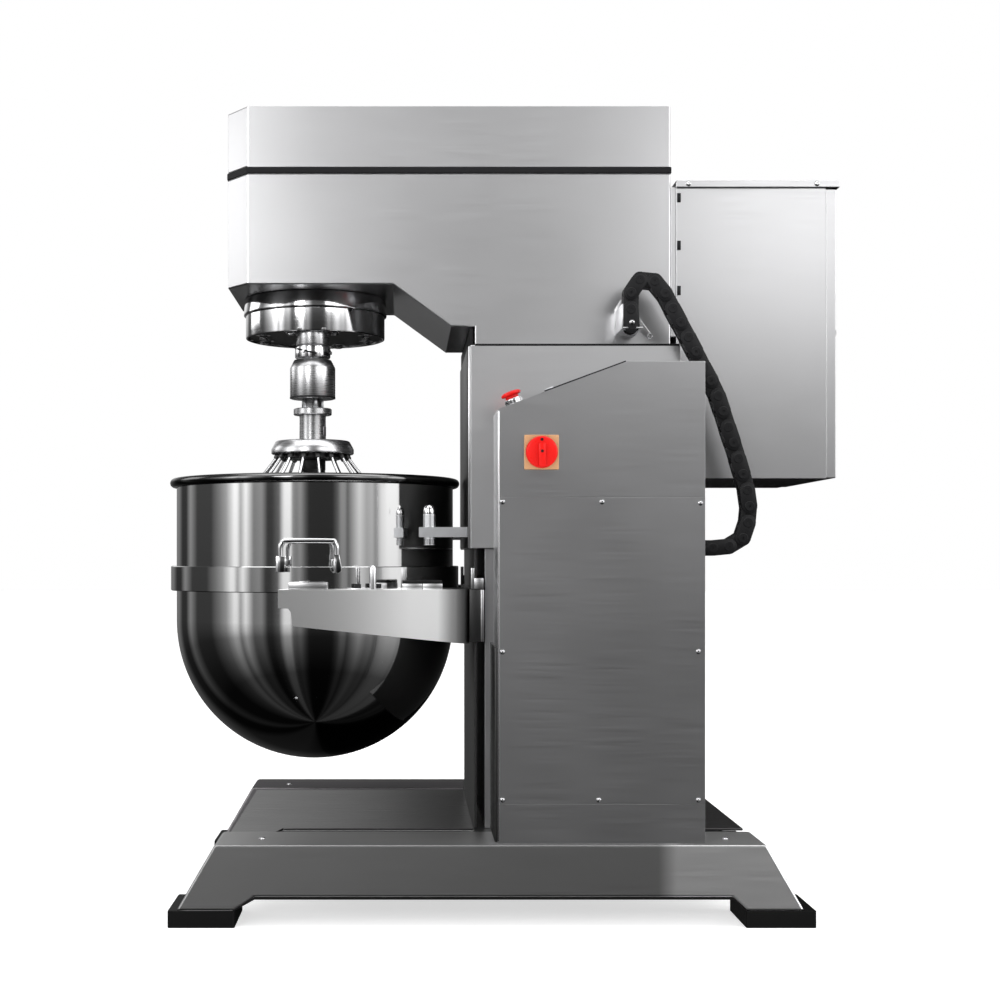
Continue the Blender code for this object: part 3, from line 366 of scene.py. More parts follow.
def block(bm, low, high, radius=0.0, turn=None, segments=2):
    """Adds a box with rounded edges; turn is a matrix applied to it."""
    new = bmesh.ops.create_cube(bm, size=1.0)["verts"]
    size = [b - a for a, b in zip(low, high)]
    middle = [(a + b) / 2 for a, b in zip(low, high)]
    bmesh.ops.scale(bm, vec=size, verts=new)
    bmesh.ops.translate(bm, vec=middle, verts=new)
    if radius:
        edges = list({e for v in new for e in v.link_edges})
        made = bmesh.ops.bevel(bm, geom=edges, offset=radius, segments=segments, profile=0.5,
                               affect="EDGES")
        new = list({v for f in made["faces"] for v in f.verts} | {v for v in new if v.is_valid})
    if turn is not None:
        bmesh.ops.transform(bm, matrix=turn, verts=new)


def on_circle(center, radius, angle, z):
    """A point on a level circle."""
    return center[0] + radius * math.cos(angle), center[1] + radius * math.sin(angle), z


def lathe(bm, profile, center=(0.0, 0.0), count=64, closed=True, turn=None):
    """Adds profile (radius, height) turned round a vertical axis through center."""
    rings = []
    for r, z in profile:
        if r < 1e-6:
            rings.append([bm.verts.new((center[0], center[1], z))])
        else:
            rings.append([bm.verts.new(on_circle(center, r, math.tau * k / count, z))
                          for k in range(count)])
    pairs = list(zip(rings, rings[1:]))
    if closed:
        pairs.append((rings[-1], rings[0]))
    for lower, upper in pairs:
        for k in range(count):
            j = (k + 1) % count
            corners = []
            for ring, i in ((lower, k), (lower, j), (upper, j), (upper, k)):
                vert = ring[i] if len(ring) > 1 else ring[0]
                if vert not in corners:
                    corners.append(vert)
            if len(corners) > 2:
                bm.faces.new(corners)
    if turn is not None:
        bmesh.ops.transform(bm, matrix=turn, verts=[v for ring in rings for v in ring])


def tube(bm, points, radius, sides):
    """Adds a round bar along points."""
    points = [Vector(p) for p in points]
    rings = []
    side = None
    for k, point in enumerate(points):
        before = points[max(k - 1, 0)]
        after = points[min(k + 1, len(points) - 1)]
        along = (after - before).normalized()
        if side is None:
            side = Vector(UP) if abs(along.z) < 0.9 else Vector((1, 0, 0))
        side = (side - along * side.dot(along)).normalized()
        other = along.cross(side)
        rings.append([bm.verts.new(point + (side * math.cos(a) + other * math.sin(a)) * radius)
                      for a in (math.tau * i / sides for i in range(sides))])
    for first, second in zip(rings, rings[1:]):
        for i in range(sides):
            j = (i + 1) % sides
            bm.faces.new((first[i], first[j], second[j], second[i]))
    bm.faces.new(rings[0][::-1])
    bm.faces.new(rings[-1])


def prism(bm, outline, direction, radius=0.0):
    """Adds a plate: outline is a loop of points, pushed along direction."""
    lower = [bm.verts.new(p) for p in outline]
    upper = [bm.verts.new(Vector(p) + Vector(direction)) for p in outline]
    bm.faces.new(lower)
    bm.faces.new(upper[::-1])
    count = len(lower)
    for k in range(count):
        j = (k + 1) % count
        bm.faces.new((lower[k], upper[k], upper[j], lower[j]))
    new = lower + upper
    if radius:
        rim = [e for e in {e for v in new for e in v.link_edges}
               if abs((e.verts[0].co - e.verts[1].co).normalized().dot(
                   Vector(direction).normalized())) < 0.5]
        bmesh.ops.bevel(bm, geom=rim, offset=radius, segments=2, profile=0.5, affect="EDGES")


def turned(name, profile, axis, mat, body, stands_for=(), count=96, closed=True):
    """A shown piece turned round a vertical axis."""
    bm = bmesh.new()
    lathe(bm, profile, axis, count, closed)
    piece(name, bm, mat, body, stands_for)


def boxed(name, low, high, radius, mat, body, turn=None, segments=2):
    """A shown piece that is one box with rounded edges."""
    bm = bmesh.new()
    block(bm, low, high, radius, turn, segments)
    return piece(name, bm, mat, body)


def beside(sign, inner, outer):
    """The two Y values of a span on one side of the middle, lower first."""
    return sorted((sign * inner, sign * outer))


def smooth_line(points, steps):
    """Catmull-Rom points through a path."""
    pts = [Vector(p) for p in points]
    pts = [2 * pts[0] - pts[1], *pts, 2 * pts[-1] - pts[-2]]
    line = []
    for a, b, c, d in zip(pts, pts[1:], pts[2:], pts[3:]):
        for k in range(steps):
            t = k / steps
            line.append(0.5 * (2 * b + (c - a) * t + (2 * a - 5 * b + 4 * c - d) * t ** 2
                               + (3 * b - a - 3 * c + d) * t ** 3))
    return line + [pts[-2]]


def facing(point, normal):
    """Matrix that puts the origin at point with +Z along normal."""
    turn = Vector(normal).to_track_quat("Z", "Y").to_matrix().to_4x4()
    return Matrix.Translation(Vector(point)) @ turn


def dome_screw(bm, point, normal, radius, height):
    """A button-head screw with a round recess and a thin washer under it."""
    turn = facing(point, normal)
    socket = radius * 0.42
    profile = [(0.0, height * 0.45), (socket, height * 0.45), (socket, height * 0.97),
               (socket * 1.15, height), (radius * 0.62, height * 0.90),
               (radius * 0.84, height * 0.62), (radius * 0.97, height * 0.28), (radius, 0.0),
               (radius * 1.18, -0.0002), (radius * 1.18, -0.0012), (0.0, -0.0012)]
    lathe(bm, profile, count=24, closed=False, turn=turn)


def dome_screws(name, points, normal, radius, height, mat, body):
    """A shown piece of equal dome-head screws."""
    bm = bmesh.new()
    for point in points:
        dome_screw(bm, point, normal, radius, height)
    piece(name, bm, mat, body)


def hex_bolt(bm, point, normal, across, height, spin=0.0):
    """A hexagon head with a chamfered top on a flat washer."""
    turn = facing(point, normal) @ Matrix.Rotation(spin, 4, "Z")
    r = across / math.sqrt(3)
    lathe(bm, [(0.0, height), (r * 0.80, height), (r, height * 0.84), (r, 0.0008), (0.0, 0.0008)],
          count=6, closed=False, turn=turn)
    lathe(bm, [(0.0, 0.0010), (across * 0.92, 0.0010), (across * 0.92, -0.0006),
               (0.0, -0.0006)], count=28, closed=False, turn=turn)


def socket_bolt(bm, point, normal, radius, height):
    """A cylinder-head cap screw with a round recess."""
    turn = facing(point, normal)
    socket = radius * 0.5
    lathe(bm, [(0.0, height * 0.4), (socket, height * 0.4), (socket, height),
               (radius * 0.93, height), (radius, height * 0.92), (radius, 0.0), (0.0, 0.0)],
          count=24, closed=False, turn=turn)


# ---- bowl
def build_bowl():
    """The shell with its round bottom, the rolled rim, the band and the band's lugs."""
    steps = 36
    inner_r = BOWL_R - BOWL_WALL
    arc = [math.pi / 2 * k / steps for k in range(1, steps + 1)]
    levels = (BALL_Z + 0.002, 0.62, 0.70, 0.78, 0.842, 0.850)
    shell = [(0.0, BALL_Z - BOWL_R)]
    shell += [(BOWL_R * math.sin(a), BALL_Z - BOWL_R * math.cos(a)) for a in arc]
    shell += [(BOWL_R, z) for z in levels]
    shell += [(inner_r, z) for z in reversed(levels)]
    shell += [(inner_r * math.sin(a), BALL_Z - inner_r * math.cos(a)) for a in reversed(arc)]
    shell.append((0.0, BALL_Z - inner_r))
    turned("bowl_shell", shell, MAIN_AXIS, POLISHED, "frame", ("bowl",), 160,
           closed=False)

    bead_x = BOWL_R + 0.0045
    bead = [(inner_r, 0.8500), (BOWL_R, 0.8501)]
    for k in range(17):
        a = math.radians(-118 + 268 * k / 16)
        bead.append((bead_x + BEAD_R * math.cos(a), RIM_Z + BEAD_R * math.sin(a)))
    turned("bowl_rim", bead, MAIN_AXIS, RIM, "frame", count=160)

    low, high = BAND_Z
    band = [(BOWL_R + 0.0002, low + 0.001), (BOWL_R + 0.004, low), (BAND_R - 0.0015, low),
            (BAND_R, low + 0.0015), (BAND_R, high - 0.0015), (BAND_R - 0.0015, high),
            (BOWL_R + 0.004, high), (BOWL_R + 0.0002, high - 0.001)]
    turned("bowl_support_band", band, MAIN_AXIS, POLISHED, "frame", ("bowl_band",), 160)
    bm = bmesh.new()
    for _, sign in SIDES:
        y = beside(sign, 0.3085, 0.352)
        block(bm, (-0.4165, y[0], 0.6373), (-0.341, y[1], 0.6515), 0.0012)
        y = beside(sign, 0.335, 0.343)
        block(bm, (-0.3960, y[0], 0.6510), (-0.3790, y[1], 0.6535), 0.0006)
    piece("bowl_lugs", bm, BRUSHED, "frame")


def build_bowl_handle(side, sign):
    """A bent bar held off the bowl by one square and one drop-shaped welded foot."""
    y = sign * 0.331
    left, right, top, low = -0.4335, -0.3235, 0.7327, 0.690
    bend = 0.013
    path = [(left, y, low), (left, y, 0.700), (left, y, top - bend),
            (left + 0.3 * bend, y, top - 0.3 * bend), (left + bend, y, top),
            (right - bend, y, top), (right - 0.3 * bend, y, top - 0.3 * bend),
            (right, y, top - bend), (right, y, 0.700), (right, y, low)]
    bm = bmesh.new()
    tube(bm, smooth_line(path, 6), 0.0053, 16)
    face = y + sign * 0.0062
    square = [(left + x, face, z) for x, z in (
        (-0.0088, 0.6710), (0.0088, 0.6710), (0.0080, 0.7020), (-0.0080, 0.7020))]
    drop_r = 0.0088
    drop = []
    for k in range(17):
        a = math.radians(180 + 180 * k / 16)
        drop.append((right + 0.0020 + drop_r * math.cos(a), face, 0.6780 + drop_r * math.sin(a)))
    drop += [(right + 0.0056, face, 0.7060), (right - 0.0050, face, 0.7060)]
    for foot in (square, drop):
        prism(bm, foot, (0, -sign * 0.0085, 0), 0.0012)
    for x in (left, right):
        back = sorted((sign * (BOWL_R - BOWL_WALL), y))
        block(bm, (x - 0.006, back[0], 0.6825), (x + 0.006, back[1], 0.6960), 0.001)
    piece("bowl_handle_bar_" + side, bm, CHROME, "frame",
          ("bowl_handle_" + side,))


# ---- whisk and its coupling
def cage_radius(z, low):
    """Radius of the cage below the half-ball's centre, so that it clears the bowl."""
    offset = -TOOL_AXIS[1]
    reach = CAGE_R + offset
    full = math.sqrt(reach ** 2 - offset ** 2)
    depth = full * (BALL_Z - z) / (BALL_Z - low)
    return math.sqrt(max(0.0, reach ** 2 - depth ** 2)) - offset


def whisk_wire(bm, k):
    """Adds one wire loop; each crosses a little above the one before."""
    low = WHISK_LOW + k * 1.3 * WIRE_R
    half = [(0.062, 0.930), (0.073, 0.913), (0.096, 0.882), (0.126, 0.846), (0.158, 0.790),
            (0.175, 0.720), (CAGE_R, 0.640)]
    for step in range(1, 10):
        z = BALL_Z - (BALL_Z - low) * math.sin(math.pi / 2 * step / 9)
        half.append((cage_radius(z, low), z))
    half[-1] = (0.0, low)
    route = half + [(-r, z) for r, z in reversed(half[:-1])]
    turn = math.pi * (k + 0.5) / LOOPS
    points = [on_circle(TOOL_AXIS, r, turn, z) for r, z in route]
    tube(bm, smooth_line(points, 4), WIRE_R, 10)


def build_whisk():
    bm = bmesh.new()
    for k in range(LOOPS):
        whisk_wire(bm, k)
    piece("whisk_wires", bm, CHROME, "tool")

    shank = [(0.0, 0.9165), (0.0845, 0.9165), (0.0865, 0.9185), (0.0865, 0.9265),
             (0.0845, 0.9310), (0.0780, 0.9425), (0.0760, 0.9440), (0.0300, 0.9440),
             (0.0278, 0.9462), (0.0275, 0.9900), (0.0280, 0.9985), (0.0385, 0.9990),
             (0.0400, 1.0005), (0.0400, 1.0110), (0.0385, 1.0125), (0.0200, 1.0125),
             (0.0190, 1.0140), (0.0188, 1.0335), (0.0175, 1.0352), (0.0, 1.0352)]
    turned("whisk_disc_and_shank", shank, TOOL_AXIS, TURNED, "tool", ("whisk",),
           closed=False)

    bm = bmesh.new()
    lathe(bm, [(0.0, 0.880), (0.024, 0.880), (0.027, 0.884), (0.027, 0.904), (0.058, 0.906),
               (0.061, 0.909), (0.061, 0.9165), (0.0, 0.9165)], TOOL_AXIS, 64, closed=False)
    for k in range(2 * LOOPS):
        a = math.pi * (k + 0.5) / LOOPS
        out = Vector((math.cos(a), math.sin(a), 0.0))
        base = Vector((TOOL_AXIS[0], TOOL_AXIS[1], 0.918)) + out * 0.071
        lean = (out * 0.55 - Vector(UP)).normalized()
        lathe(bm, [(0.0, 0.0), (0.0062, 0.0), (0.0062, 0.011), (0.0050, 0.014), (0.0, 0.014)],
              count=14, closed=False, turn=facing(base, lean))
    piece("whisk_wire_sockets", bm, DARK_PLATE_AND_SHADE, "tool")

    on_tool = Matrix.Translation((*TOOL_AXIS, 0))
    bm = bmesh.new()
    for k in range(4):
        turn = Matrix.Rotation(KEY_TURN + math.pi / 2 * (k - 1), 4, "Z")
        block(bm, (-0.0035, 0.0165, 1.0128), (0.0035, 0.0230, 1.0325), 0.0008, on_tool @ turn)
    piece("whisk_drive_keys", bm, MACHINED, "tool")
    boxed("whisk_shank_flat", (0.0255, -0.006, 0.955), (0.0283, 0.006, 0.9745), 0.0006,
          DARK_STEEL, "tool", on_tool @ Matrix.Rotation(-KEY_TURN, 4, "Z"))


def build_coupling():
    """The release sleeve, and the ring above it with its three helical slots."""
    bore = COUPLING_BORE_R
    sleeve = [(bore, 1.0330), (0.0450, 1.0330), (0.0468, 1.0340), (0.0475, 1.0362),
              (0.0475, 1.0965), (0.0470, 1.0990), (0.0395, 1.1135), (0.0382, 1.1145),
              (bore, 1.1145)]
    turned("release_sleeve_body", sleeve, TOOL_AXIS, TURNED, "release_sleeve",
           ("coupling_sleeve",))
    lip = [(0.0450, 1.0335), (0.0479, 1.0340), (0.0479, 1.0372), (0.0450, 1.0376)]
    turned("release_sleeve_lip", lip, TOOL_AXIS, BLACK, "release_sleeve")
    ring = [(bore, 1.1183), (0.0350, 1.1183), (0.0368, 1.1195), (0.0372, 1.1225),
            (0.0372, 1.1395), (0.0365, 1.1422), (0.0350, 1.1431), (bore, 1.1431)]
    turned("lock_ring_body", ring, TOOL_AXIS, CHROME, "lock_ring", ("lock_collar",))
    # Black bars along the ring stand in for its three helical slots: painted shade in the slots.
    bm = bmesh.new()
    for start in (-2.55, -0.45, 1.65):
        shares = [k / 16 for k in range(17)]
        tube(bm, [on_circle(TOOL_AXIS, 0.0368, start + 1.25 * s, 1.1365 - 0.0115 * s)
                  for s in shares], 0.0021, 8)
    piece("lock_ring_slot_shade", bm, BLACK, "lock_ring")
    bm = bmesh.new()
    for angle in (-2.05, 0.05, 2.15):
        out = Vector((math.cos(angle), math.sin(angle), 0))
        point = Vector((TOOL_AXIS[0], TOOL_AXIS[1], 1.1300)) + out * 0.0362
        lathe(bm, [(0.0, 0.0042), (0.0026, 0.0042), (0.0034, 0.0034), (0.0034, 0.0), (0.0, 0.0)],
              count=18, closed=False, turn=facing(point, out))
    piece("lock_ring_pins", bm, BOLT, "lock_ring")


def build_drum():
    """The flared drum under the head, its underside, its seal housing and its bolts."""
    body = [(0.1440, 1.1785), (0.1452, 1.1730), (0.1475, 1.1720), (0.1497, 1.1728),
            (0.1500, 1.1750), (0.1500, 1.2195), (0.1508, 1.2203), (0.1540, 1.2215),
            (0.1545, 1.2228), (0.1543, 1.2255), (0.1522, 1.2540), (0.1514, 1.2555),
            (0.0280, 1.2555), (0.0280, 1.1785)]
    turned("drum_body", body, MAIN_AXIS, CHROME, "planetary_drum", ("planet_drum",), 128)
    under = [(0.0290, 1.1788), (0.0290, 1.1768), (0.1438, 1.1768), (0.1438, 1.1788)]
    turned("drum_underside", under, MAIN_AXIS, DARK_PLATE_AND_SHADE, "planetary_drum")
    housing = [(COUPLING_BORE_R, 1.1770), (COUPLING_BORE_R, 1.1440), (0.0325, 1.1436),
               (0.0345, 1.1450), (0.0350, 1.1480), (0.0350, 1.1690), (0.0420, 1.1730),
               (0.0440, 1.1770)]
    turned("drum_seal_housing", housing, TOOL_AXIS, TURNED, "planetary_drum", count=64)
    bm = bmesh.new()
    for k in range(8):
        a = math.tau * (k + 0.5) / 8
        hex_bolt(bm, on_circle(MAIN_AXIS, 0.118, a, 1.1762), DOWN, 0.017, 0.0085, spin=a)
    for k in range(6):
        socket_bolt(bm, on_circle(TOOL_AXIS, 0.052, math.tau * k / 6, 1.1764), DOWN, 0.0050,
                    0.0060)
    piece("drum_bolts", bm, BOLT, "planetary_drum")
    a = math.radians(-58)
    dome_screws("drum_plug_screw", [on_circle(MAIN_AXIS, 0.1500, a, 1.2185)],
                (math.cos(a), math.sin(a), 0), 0.0042, 0.0026, BLACK, "planetary_drum")


# ---- fork, stops and hold-downs
def fork_outer(x):
    """Half width of the fork's outer face at x, with its rounded rear corner."""
    corner = FORK_CORNER_R
    run = FORK_X[1] - corner - FORK_X[0]
    lean = math.atan(2 * FORK_DRAW / run)
    run += corner * math.sin(lean)
    if x <= FORK_X[0] + run:
        return FORK_OUTER_Y - FORK_DRAW * ((x - FORK_X[0]) / run) ** 2
    middle = FORK_OUTER_Y - FORK_DRAW - corner * math.cos(lean)
    over = min(corner, x - (FORK_X[1] - corner))
    return middle + math.sqrt(corner ** 2 - over ** 2)


def fork_inner(x):
    """Half width of the fork's mouth at x: clear of the band, or the throat's."""
    across = FORK_CLEAR_R ** 2 - (x - MAIN_AXIS[0]) ** 2
    return max(FORK_THROAT_Y, math.sqrt(max(0.0, across)))


def fork_under(x):
    """Height of the fork's underside, with the small step at its front."""
    heights = (0.6009, 0.6009, 0.5940, 0.5659, 0.5285)
    line = list(zip((FORK_X[0], *FORK_STEP_X, -0.0600), heights))
    for (x0, z0), (x1, z1) in zip(line, line[1:]):
        if x <= x1:
            return z0 + (z1 - z0) * (x - x0) / (x1 - x0)
    return line[-1][1]


def build_fork():
    """Two arms round the bowl with the plate that joins them, lugs, pins, stops and bolts."""
    corner_x = FORK_X[1] - FORK_CORNER_R
    stations = [FORK_X[0], *FORK_STEP_X]
    stations += [FORK_ARM_X + (corner_x - FORK_ARM_X) * k / 16 for k in range(17)]
    stations += [FORK_X[1] - FORK_CORNER_R * (1 - math.sin(math.pi / 2 * k / 12))
                 for k in range(1, 12)] + [FORK_X[1] - 0.0001]
    bm = bmesh.new()
    for _, sign in SIDES:
        rows = []
        for x in stations:
            low, inner, outer = fork_under(x), fork_inner(x), fork_outer(x)
            rows.append([bm.verts.new((x, sign * y, z)) for y, z in (
                (inner, low), (outer, low), (outer, FORK_TOP), (inner, FORK_TOP))])
        for first, second in zip(rows, rows[1:]):
            for i in range(4):
                j = (i + 1) % 4
                bm.faces.new((first[i], first[j], second[j], second[i]))
        bm.faces.new(rows[0])
        bm.faces.new(rows[-1])
    block(bm, (-0.0640, -0.280, 0.532), (-0.0506, 0.280, FORK_TOP))
    fork = piece("fork_body", bm, FORK_SATIN_PAINTED_LIGHT, "frame", ("bowl_fork",),
                 smooth=32.0)
    round_edges(fork, 0.0022, 32.0)
    # The lugs by the column wear the dark steel as painted shade, for the shadow they stand in.
    bm = bmesh.new()
    for _, sign in SIDES:
        y = beside(sign, *FORK_LUG_Y)
        block(bm, (-0.0608, y[0], 0.5320), (-0.0384, y[1], FORK_TOP - 0.0005), 0.0010)
    piece("fork_lugs_painted_shade", bm, DARK_PLATE_AND_SHADE, "frame")
    bm = bmesh.new()
    for _, sign in SIDES:
        y = beside(sign, FORK_LUG_Y[0] + 0.0005, FORK_LUG_Y[1] - 0.0005)
        block(bm, (-0.0382, y[0], 0.5325), (-0.0322, y[1], FORK_TOP - 0.0010), 0.0006)
        block(bm, (-0.0578, y[0], FORK_TOP + 0.0002), (-0.0512, y[1], 0.6790), 0.0006)
        block(bm, (-0.0514, y[0], FORK_TOP + 0.0002), (-0.0330, y[1], 0.6590), 0.0006)
    piece("fork_lug_clips", bm, BRUSHED, "frame")
    for side, sign in SIDES:
        y = beside(sign, 0.284, 0.321)
        bm = bmesh.new()
        for x in (-0.1950, -0.1548):
            block(bm, (x + 0.0004, y[0], FORK_TOP - 0.001), (x + 0.0396, y[1], 0.6487), 0.0012)
        piece("fork_stops_" + side, bm, BRUSHED, "frame")
        boxed("fork_stop_pad_" + side, (-0.1945, y[0] + 0.001, 0.6488),
              (-0.1157, y[1] - 0.001, 0.6552), 0.0014, BLACK, "frame")
        boxed("fork_wear_plate_" + side, (-0.2950, y[0] + 0.003, FORK_TOP - 0.0005),
              (-0.2320, y[1] + 0.012, 0.6395), 0.0008, BRUSHED, "frame")
        bm = bmesh.new()
        for x in (-0.2830, -0.2430):
            socket_bolt(bm, (x, sign * 0.305, 0.6394), UP, 0.0070, 0.0085)
        piece("fork_bolts_" + side, bm, BLACK, "frame")
        pin = [(0.0, 0.6840), (0.0045, 0.6840), (0.0062, 0.6822), (0.0069, 0.6790),
               (0.0069, 0.6380), (0.0, 0.6380)]
        turned("fork_pin_" + side, pin, (-0.2522, sign * 0.335), CHROME, "frame",
               count=28, closed=False)


def build_hold_down(side, sign):
    """The ribbed nut and rounded plunger on each arm that keeps the bowl down."""
    center = (-0.140, sign * 0.2485)
    plunger = [(0.0, 0.8075), (0.0040, 0.8068), (0.0075, 0.8046), (0.0102, 0.8010),
               (0.0117, 0.7960), (0.0121, 0.7900), (0.0121, 0.7740), (0.0112, 0.7725),
               (0.0112, 0.7700), (0.0124, 0.7680), (0.0124, 0.7612), (0.0, 0.7612)]
    turned("hold_down_plunger_" + side, plunger, center, CHROME, "head", count=40,
           closed=False)
    bm = bmesh.new()
    ribs = 20
    for k in range(ribs):
        a = math.tau * k / ribs
        tube(bm, [on_circle(center, 0.0098, a, z) for z in (0.7262, 0.7372)], 0.0016, 6)
    lathe(bm, [(0.0, 0.7255), (0.0090, 0.7255), (0.0100, 0.7265), (0.0100, 0.7370),
               (0.0088, 0.7382), (0.0060, 0.7388), (0.0060, 0.7412), (0.0, 0.7412)],
          center, 40, closed=False)
    piece("hold_down_nut_" + side, bm, CHROME, "head")


# ---- screws, clips and trim
def build_panel_screws():
    """The dome heads on the service cover, the rear cap and the rails, and the rear clips."""
    places = ((-0.0040, 0.8054), (0.1850, 0.8054), (0.3720, 0.8030), (-0.0040, 0.5205),
              (0.3680, 0.5215), (-0.0040, 0.2394), (0.1790, 0.2394), (0.3680, 0.2394))
    dome_screws("service_cover_screws", [(x, SIDE_Y - 0.0008, z) for x, z in places], NEAR,
                0.0040, 0.0026, BOLT, "frame")

    bm = bmesh.new()
    for z in (1.4330, 1.3360, 1.2440):
        block(bm, (REAR_X[0] + 0.002, -0.2122, z - 0.0095), (REAR_X[0] + 0.0095, -0.2095, z + 0.0095),
              0.0010)
    piece("rear_cabinet_clips", bm, BLACK, "head")
    ends = (REAR_X[0] + 0.024, REAR_X[1] - 0.020)
    dome_screws("rear_cap_screws", [(x, -0.2167, 1.4605) for x in ends], NEAR, 0.0048, 0.0022,
                BOLT, "head")
    corners = [(x, y, RAIL_TOP + 0.0002) for x in (-0.4650, 0.4300) for y in (-0.378, 0.360)]
    dome_screws("base_bolts", corners, UP, 0.0060, 0.0026, BOLT, "frame")


def build_trim():
    """Edging, seals and folded edges that have no CAD node of their own, and dark strips and plates
    that are painted shade in slots and gaps.
    """
    # A black strip down in the slot between the pan and the near rail: painted shadow.
    trims = [boxed("drain_slot_painted_shadow", (-0.4550, -0.2992, 0.1440), (0.4800, -0.2350, 0.1476),
                   0.0005, RUBBER_AND_SHADE, "frame")]
    for side, sign in SIDES:
        outer = [(-0.5140, 0.0360), (-0.4735, 0.0592), (0.4290, 0.0592), (0.4570, 0.0445)]
        line = outer + [(x, z - 0.0048) for x, z in reversed(outer)]
        bm = bmesh.new()
        prism(bm, [(x, sign * 0.4492, z) for x, z in line], (0, -sign * 0.0060, 0), 0.0004)
        trims.append(piece("rail_edging_" + side, bm, RUBBER_AND_SHADE, "frame"))
    # A dark plate in the gap between the column cover and the side cabinet: painted shade.
    trims.append(boxed("cabinet_gap_painted_shade", (-0.0185, -0.4270, 0.1590),
                       (-0.0130, -0.2635, 0.5300), 0.0006, DARK_PLATE_AND_SHADE, "frame"))
    for trim in trims:
        trim.visible_glossy = False
    boxed("sleeve_seal_plate", (-0.0575, -0.2050, 1.1248), (-0.0500, 0.2620, 1.1700), 0.0012,
          SEAL_AND_SHADE, "head")
    boxed("sleeve_front_frame", (-0.0628, -0.2733, 0.7182), (-0.0586, 0.1500, 1.1222), 0.0015,
          BRUSHED_UP, "head")
    # A dark sheet on the sleeve's front face: a painted dark reflection.
    boxed("sleeve_front_painted_reflection", (-0.0638, -0.2716, 0.7200), (-0.0630, 0.1480, 1.1205), 0.0003,
          DARK_PLATE_AND_SHADE, "head")
    # A dark strip over the sleeve's top edge, under the head: painted shadow in the gap.
    boxed("sleeve_top_painted_shadow", (-0.0490, -0.2740, 1.1228), (0.3600, -0.2700, 1.1272), 0.0005,
          SEAL_AND_SHADE, "head")
    boxed("cabinet_corner", (-0.0130, -0.4304, 0.1600), (-0.0094, -0.4270, 0.9790), 0.0014,
          BOLT, "frame", segments=4)


# ---- controls
def slope_frame(along, y):
    """Matrix with +Z off the sloping face and +X up the slope."""
    point = (SLOPE_FOOT[0] + along * math.cos(SLOPE), y,
             SLOPE_FOOT[1] + along * math.sin(SLOPE))
    return Matrix.Translation(point) @ Matrix.Rotation(-SLOPE, 4, "Y")


def build_controls():
    """The emergency stop, the main switch's handle and the line along the panel's edge."""
    at = slope_frame(0.040, -0.3575)
    bm = bmesh.new()
    lathe(bm, [(0.0, 0.0288), (0.0110, 0.0285), (0.0165, 0.0273), (0.0195, 0.0250),
               (0.0200, 0.0228), (0.0190, 0.0206), (0.0150, 0.0196), (0.0130, 0.0190),
               (0.0130, 0.0095), (0.0, 0.0095)], count=56, closed=False, turn=at)
    piece("estop_mushroom", bm, RED, "emergency_button", ("estop_button",))
    bm = bmesh.new()
    lathe(bm, [(0.0138, 0.0004), (0.0186, 0.0004), (0.0190, 0.0012), (0.0186, 0.0040),
               (0.0174, 0.0046), (0.0174, 0.0062), (0.0184, 0.0068), (0.0184, 0.0100),
               (0.0174, 0.0106), (0.0174, 0.0122), (0.0166, 0.0136), (0.0138, 0.0136)],
          count=56, turn=at)
    piece("estop_collar_rings", bm, BOLT, "frame", ("estop_collar",))

    bm = bmesh.new()
    turn = facing((0.0700, -0.4360, 0.9000), NEAR)
    lathe(bm, [(0.0, 0.0070), (0.0260, 0.0070), (0.0290, 0.0062), (0.0303, 0.0045),
               (0.0305, 0.0), (0.0, 0.0)], count=64, closed=False, turn=turn)
    block(bm, (-0.0068, -0.0285, 0.0040), (0.0068, 0.0165, 0.0150), 0.0016, turn=turn)
    piece("main_switch_handle", bm, RED, "switch_knob", ("main_switch_knob",))
    # Black discs on the handle stand in for the padlock holes: painted shade in the holes.
    bm = bmesh.new()
    for y, rise in ((0.0235, 0.0069), (0.0010, 0.0149)):
        lathe(bm, [(0.0, 0.0004), (0.0028, 0.0004), (0.0028, 0.0), (0.0, 0.0)],
              count=18, closed=False, turn=turn @ Matrix.Translation((0, y, rise)))
    piece("main_switch_padlock_hole_shade", bm, BLACK, "switch_knob")
    boxed("control_panel_edge", (-0.0825, -0.0015, 0.0003), (0.0825, 0.0015, 0.0026), 0.0004,
          BLACK, "frame", slope_frame(0.1775, -0.4270))


# ---- cable carrier
def arc_table(points):
    """The length along points up to each of them."""
    lengths = [0.0]
    for a, b in zip(points, points[1:]):
        lengths.append(lengths[-1] + (Vector(b) - Vector(a)).length)
    return lengths


def at_length(points, lengths, s):
    """The point at length s along points."""
    for k in range(len(points) - 1):
        if s <= lengths[k + 1]:
            t = (s - lengths[k]) / (lengths[k + 1] - lengths[k])
            return Vector(points[k]).lerp(Vector(points[k + 1]), t)
    return Vector(points[-1])


def stadium(a, b, half):
    """Loop round two points in the XZ plane."""
    steps = 9
    along = (b - a).normalized()
    side = Vector((-along.z, 0, along.x))
    loop = []
    for middle, direction in ((b, 1), (a, -1)):
        for k in range(steps):
            t = math.pi * (k / (steps - 1) - 0.5)
            loop.append(middle + direction * (along * math.cos(t) + side * math.sin(t)) * half)
    return loop


